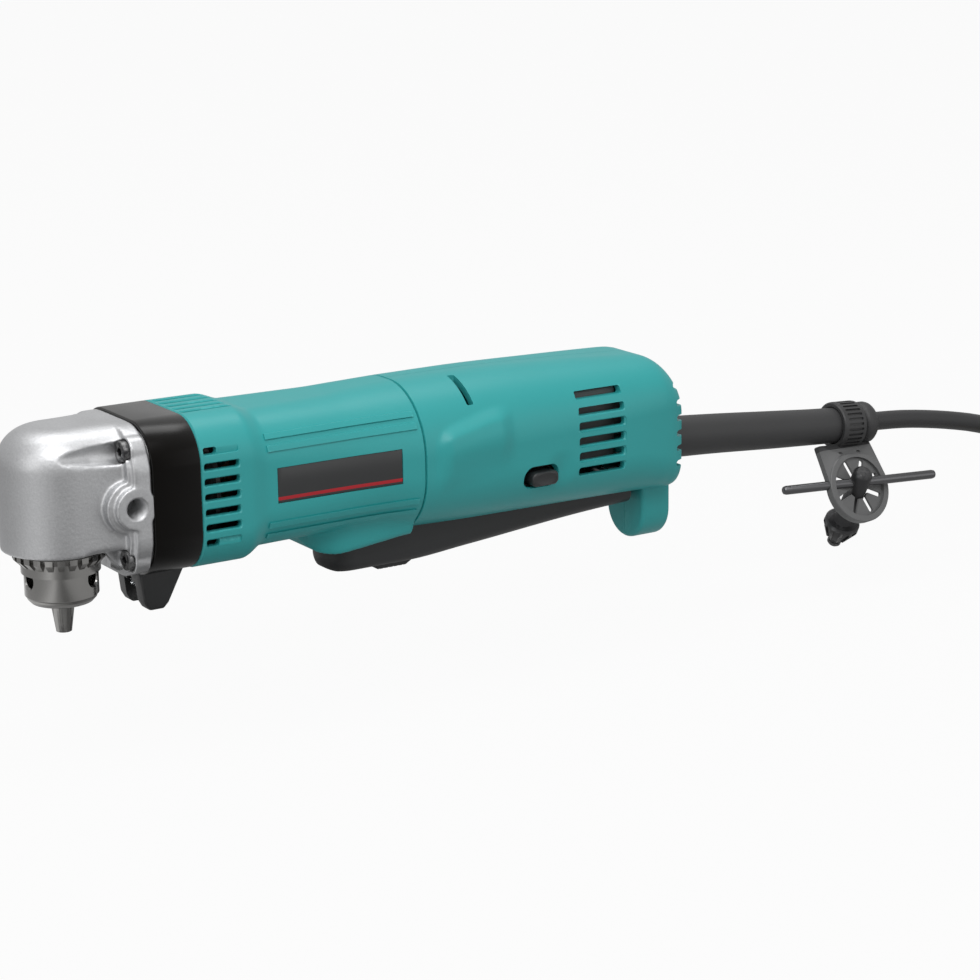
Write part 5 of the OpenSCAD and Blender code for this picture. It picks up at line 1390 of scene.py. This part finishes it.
def holder_finish():
    """Rubber that is dark round the guard and paler on the flap."""
    material = finish("holder_rubber", (0.14, 0.141, 0.142), 0.42, 0.0, 1300.0, 0.4, 0.02, 0.1, 0.07)
    tree = material.node_tree
    middle = HOLDER_FRAME.translation * MM
    aside = math_on(tree, "SUBTRACT", axis_coordinate(tree, "Y"), middle.y)
    above = math_on(tree, "SUBTRACT", axis_coordinate(tree, "Z"), middle.z)
    away = math_on(tree, "SQRT", math_on(tree, "ADD", math_on(tree, "MULTIPLY", aside, aside),
                                         math_on(tree, "MULTIPLY", above, above)))
    collar = math_on(tree, "LESS_THAN", away, HOLDER_COLLAR * MM)
    return painted(material, collar, (0.037, 0.037, 0.038))


HOLDER = holder_finish()
finished(key_holder(), "key_holder_ribbed", HOLDER, "key_holder", "key_holder")

# Chuck key, drawn upright about its own axis
BAR_R, BAR_HALF = 1.8, 34.0


def toothed_key():
    key = lathe([(0, -37), (2.4, -37), (2.85, -36.4), (2.85, -32.6), (4.3, -32.5), (4.7, -32.2), (7.3, -26.2),
                 (7.2, -24.0), (6.4, -23.0), (4.4, -22.4), (4.0, -21.6), (4.0, 4.6), (3.6, 5.6), (2.6, 6.4),
                 (0, 6.5)], steps=88)
    gap = plate([(-0.55, -2.2), (0.55, -2.2), (1.35, 2.2), (-1.35, 2.2)], "x", -7, 7)
    lean = Matrix.Translation((7.4, 0, -29.4)) @ turned(-66, "Y")
    ring_cut(key, placed(gap, lean), 11, KEY)
    cut(key, rod("x", BAR_R + 0.06, -20, 20, steps=48))
    return placed(key, KEY_FRAME)


finished(toothed_key(), "key_toothed", KEY, "chuck_key", "chuck_key")
bar_end = [(BAR_R, BAR_HALF - 1.3), (1.5, BAR_HALF - 0.3), (1.1, BAR_HALF), (0, BAR_HALF)]
bar = lathe([(r, -x) for r, x in reversed(bar_end)] + bar_end, "x", steps=48)
finished(placed(bar, KEY_FRAME), "key_tommy_bar", BAR, "chuck_key", "key_bar")


# Floor, world and lamps: a white studio whose floor keeps a faint shadow
# Painted reflection: the floor's brightness in glossy rays, in bands by place across the view.
PAINTED_REFLECTION_BANDS = [(-0.3, 0.4), (-0.16, 0.42), (-0.085, 0.95), (-0.02, 0.4), (0.07, 0.14), (0.16, 0.52),
               (0.3, 0.46), (0.5, 0.46)]
ACROSS_VIEW = (0.848, -0.53, 0)
STAGE_HALF, STAGE_Z = 4000, FLOOR_Z - 0.02
FLOOR_GREY, FLOOR_SEEN = (0.42, 0.42, 0.42, 1), 0.95
SKY_GLOSS, SKY_FILL = 0.55, 0.3


def seen_rays(tree):
    """The kinds of ray, and a mask of those from the camera, straight or through the lens."""
    rays = tree.nodes.new("ShaderNodeLightPath").outputs
    return rays, math_on(tree, "MAXIMUM", rays["Is Camera Ray"], rays["Is Transmission Ray"])


def painted_reflection_bands(tree):
    """Painted reflection for the polished steel: pale and dark bands across the view that only glossy rays
    see on the floor.
    """
    place = tree.nodes.new("ShaderNodeTexCoord")
    across = tree.nodes.new("ShaderNodeVectorMath")
    across.operation = "DOT_PRODUCT"
    across.inputs[1].default_value = ACROSS_VIEW
    tree.links.new(place.outputs["Object"], across.inputs[0])
    first, last = PAINTED_REFLECTION_BANDS[0][0], PAINTED_REFLECTION_BANDS[-1][0]
    from_chuck = math_on(tree, "SUBTRACT", across.outputs["Value"], ACROSS_VIEW[0] * SPINDLE_X * MM + first)
    ramp = tree.nodes.new("ShaderNodeValToRGB")
    stops = ramp.color_ramp.elements
    for at, _ in PAINTED_REFLECTION_BANDS[1:-1]:
        stops.new((at - first) / (last - first))
    for stop, (at, level) in zip(stops, PAINTED_REFLECTION_BANDS):
        stop.color = (level, level, level, 1)
    tree.links.new(math_on(tree, "DIVIDE", from_chuck, last - first), ramp.inputs[0])
    return ramp.outputs["Color"]


def floor():
    corners = ((-1, -1), (1, -1), (1, 1), (-1, 1))
    stage = shape([(u * STAGE_HALF, v * STAGE_HALF, STAGE_Z) for u, v in corners], [(0, 1, 2, 3)])
    stage.name = "floor"
    stage.data.transform(Matrix.Scale(MM, 4))
    material = bpy.data.materials.new("pale_floor")
    material.use_nodes = True
    tree = material.node_tree
    tree.nodes.remove(tree.nodes["Principled BSDF"])
    out = tree.nodes["Material Output"]
    matt = tree.nodes.new("ShaderNodeBsdfDiffuse")
    matt.inputs["Color"].default_value = FLOOR_GREY
    white = tree.nodes.new("ShaderNodeEmission")
    rays, seen = seen_rays(tree)
    seen = math_on(tree, "MAXIMUM", math_on(tree, "MULTIPLY", seen, FLOOR_SEEN), rays["Is Glossy Ray"])
    # Glossy rays see the floor's emission in painted reflection bands; other rays see it at strength 1.
    mirrored = tree.nodes.new("ShaderNodeMix")
    mirrored.inputs[2].default_value = 1.0
    tree.links.new(rays["Is Glossy Ray"], mirrored.inputs[0])
    tree.links.new(painted_reflection_bands(tree), mirrored.inputs[3])
    tree.links.new(mirrored.outputs[0], white.inputs["Strength"])
    blend = tree.nodes.new("ShaderNodeMixShader")
    tree.links.new(seen, blend.inputs[0])
    tree.links.new(matt.outputs[0], blend.inputs[1])
    tree.links.new(white.outputs[0], blend.inputs[2])
    tree.links.new(blend.outputs[0], out.inputs["Surface"])
    stage.data.materials.append(material)


def studio():
    world = bpy.data.worlds.new("studio")
    scene.world = world
    world.use_nodes = True
    tree = world.node_tree
    sky = tree.nodes["Background"]
    sky.inputs["Color"].default_value = (1, 1, 1, 1)
    rays, seen = seen_rays(tree)
    glossy = math_on(tree, "MULTIPLY", rays["Is Glossy Ray"], SKY_GLOSS)
    level = math_on(tree, "MAXIMUM", seen, math_on(tree, "MAXIMUM", glossy, SKY_FILL))
    tree.links.new(level, sky.inputs["Strength"])


def lamp(name, at, aim, size, watts):
    light = bpy.data.lights.new(name, "AREA")
    light.shape, light.size, light.size_y, light.energy = "RECTANGLE", size[0], size[1], watts
    holder = bpy.data.objects.new(name, light)
    holder.location = at
    holder.rotation_euler = (Vector(aim) - Vector(at)).to_track_quat("-Z", "Y").to_euler()
    scene.collection.objects.link(holder)


floor()
studio()
lamp("key_light", (-0.35, -0.75, 1.05), (0.03, 0, -0.01), (1.1, 0.8), 9.5)
lamp("fill_light", (0.75, -1.15, 0.3), (0.05, 0, -0.02), (0.9, 0.9), 1.6)
lamp("top_light", (0.1, 0.25, 1.2), (0.05, 0, 0), (1.2, 0.5), 6.4)
lamp("front_light", (-1.1, -0.35, 0.35), (-0.08, 0, 0), (0.6, 0.8), 1.8)
scene.view_settings.view_transform = "Standard"
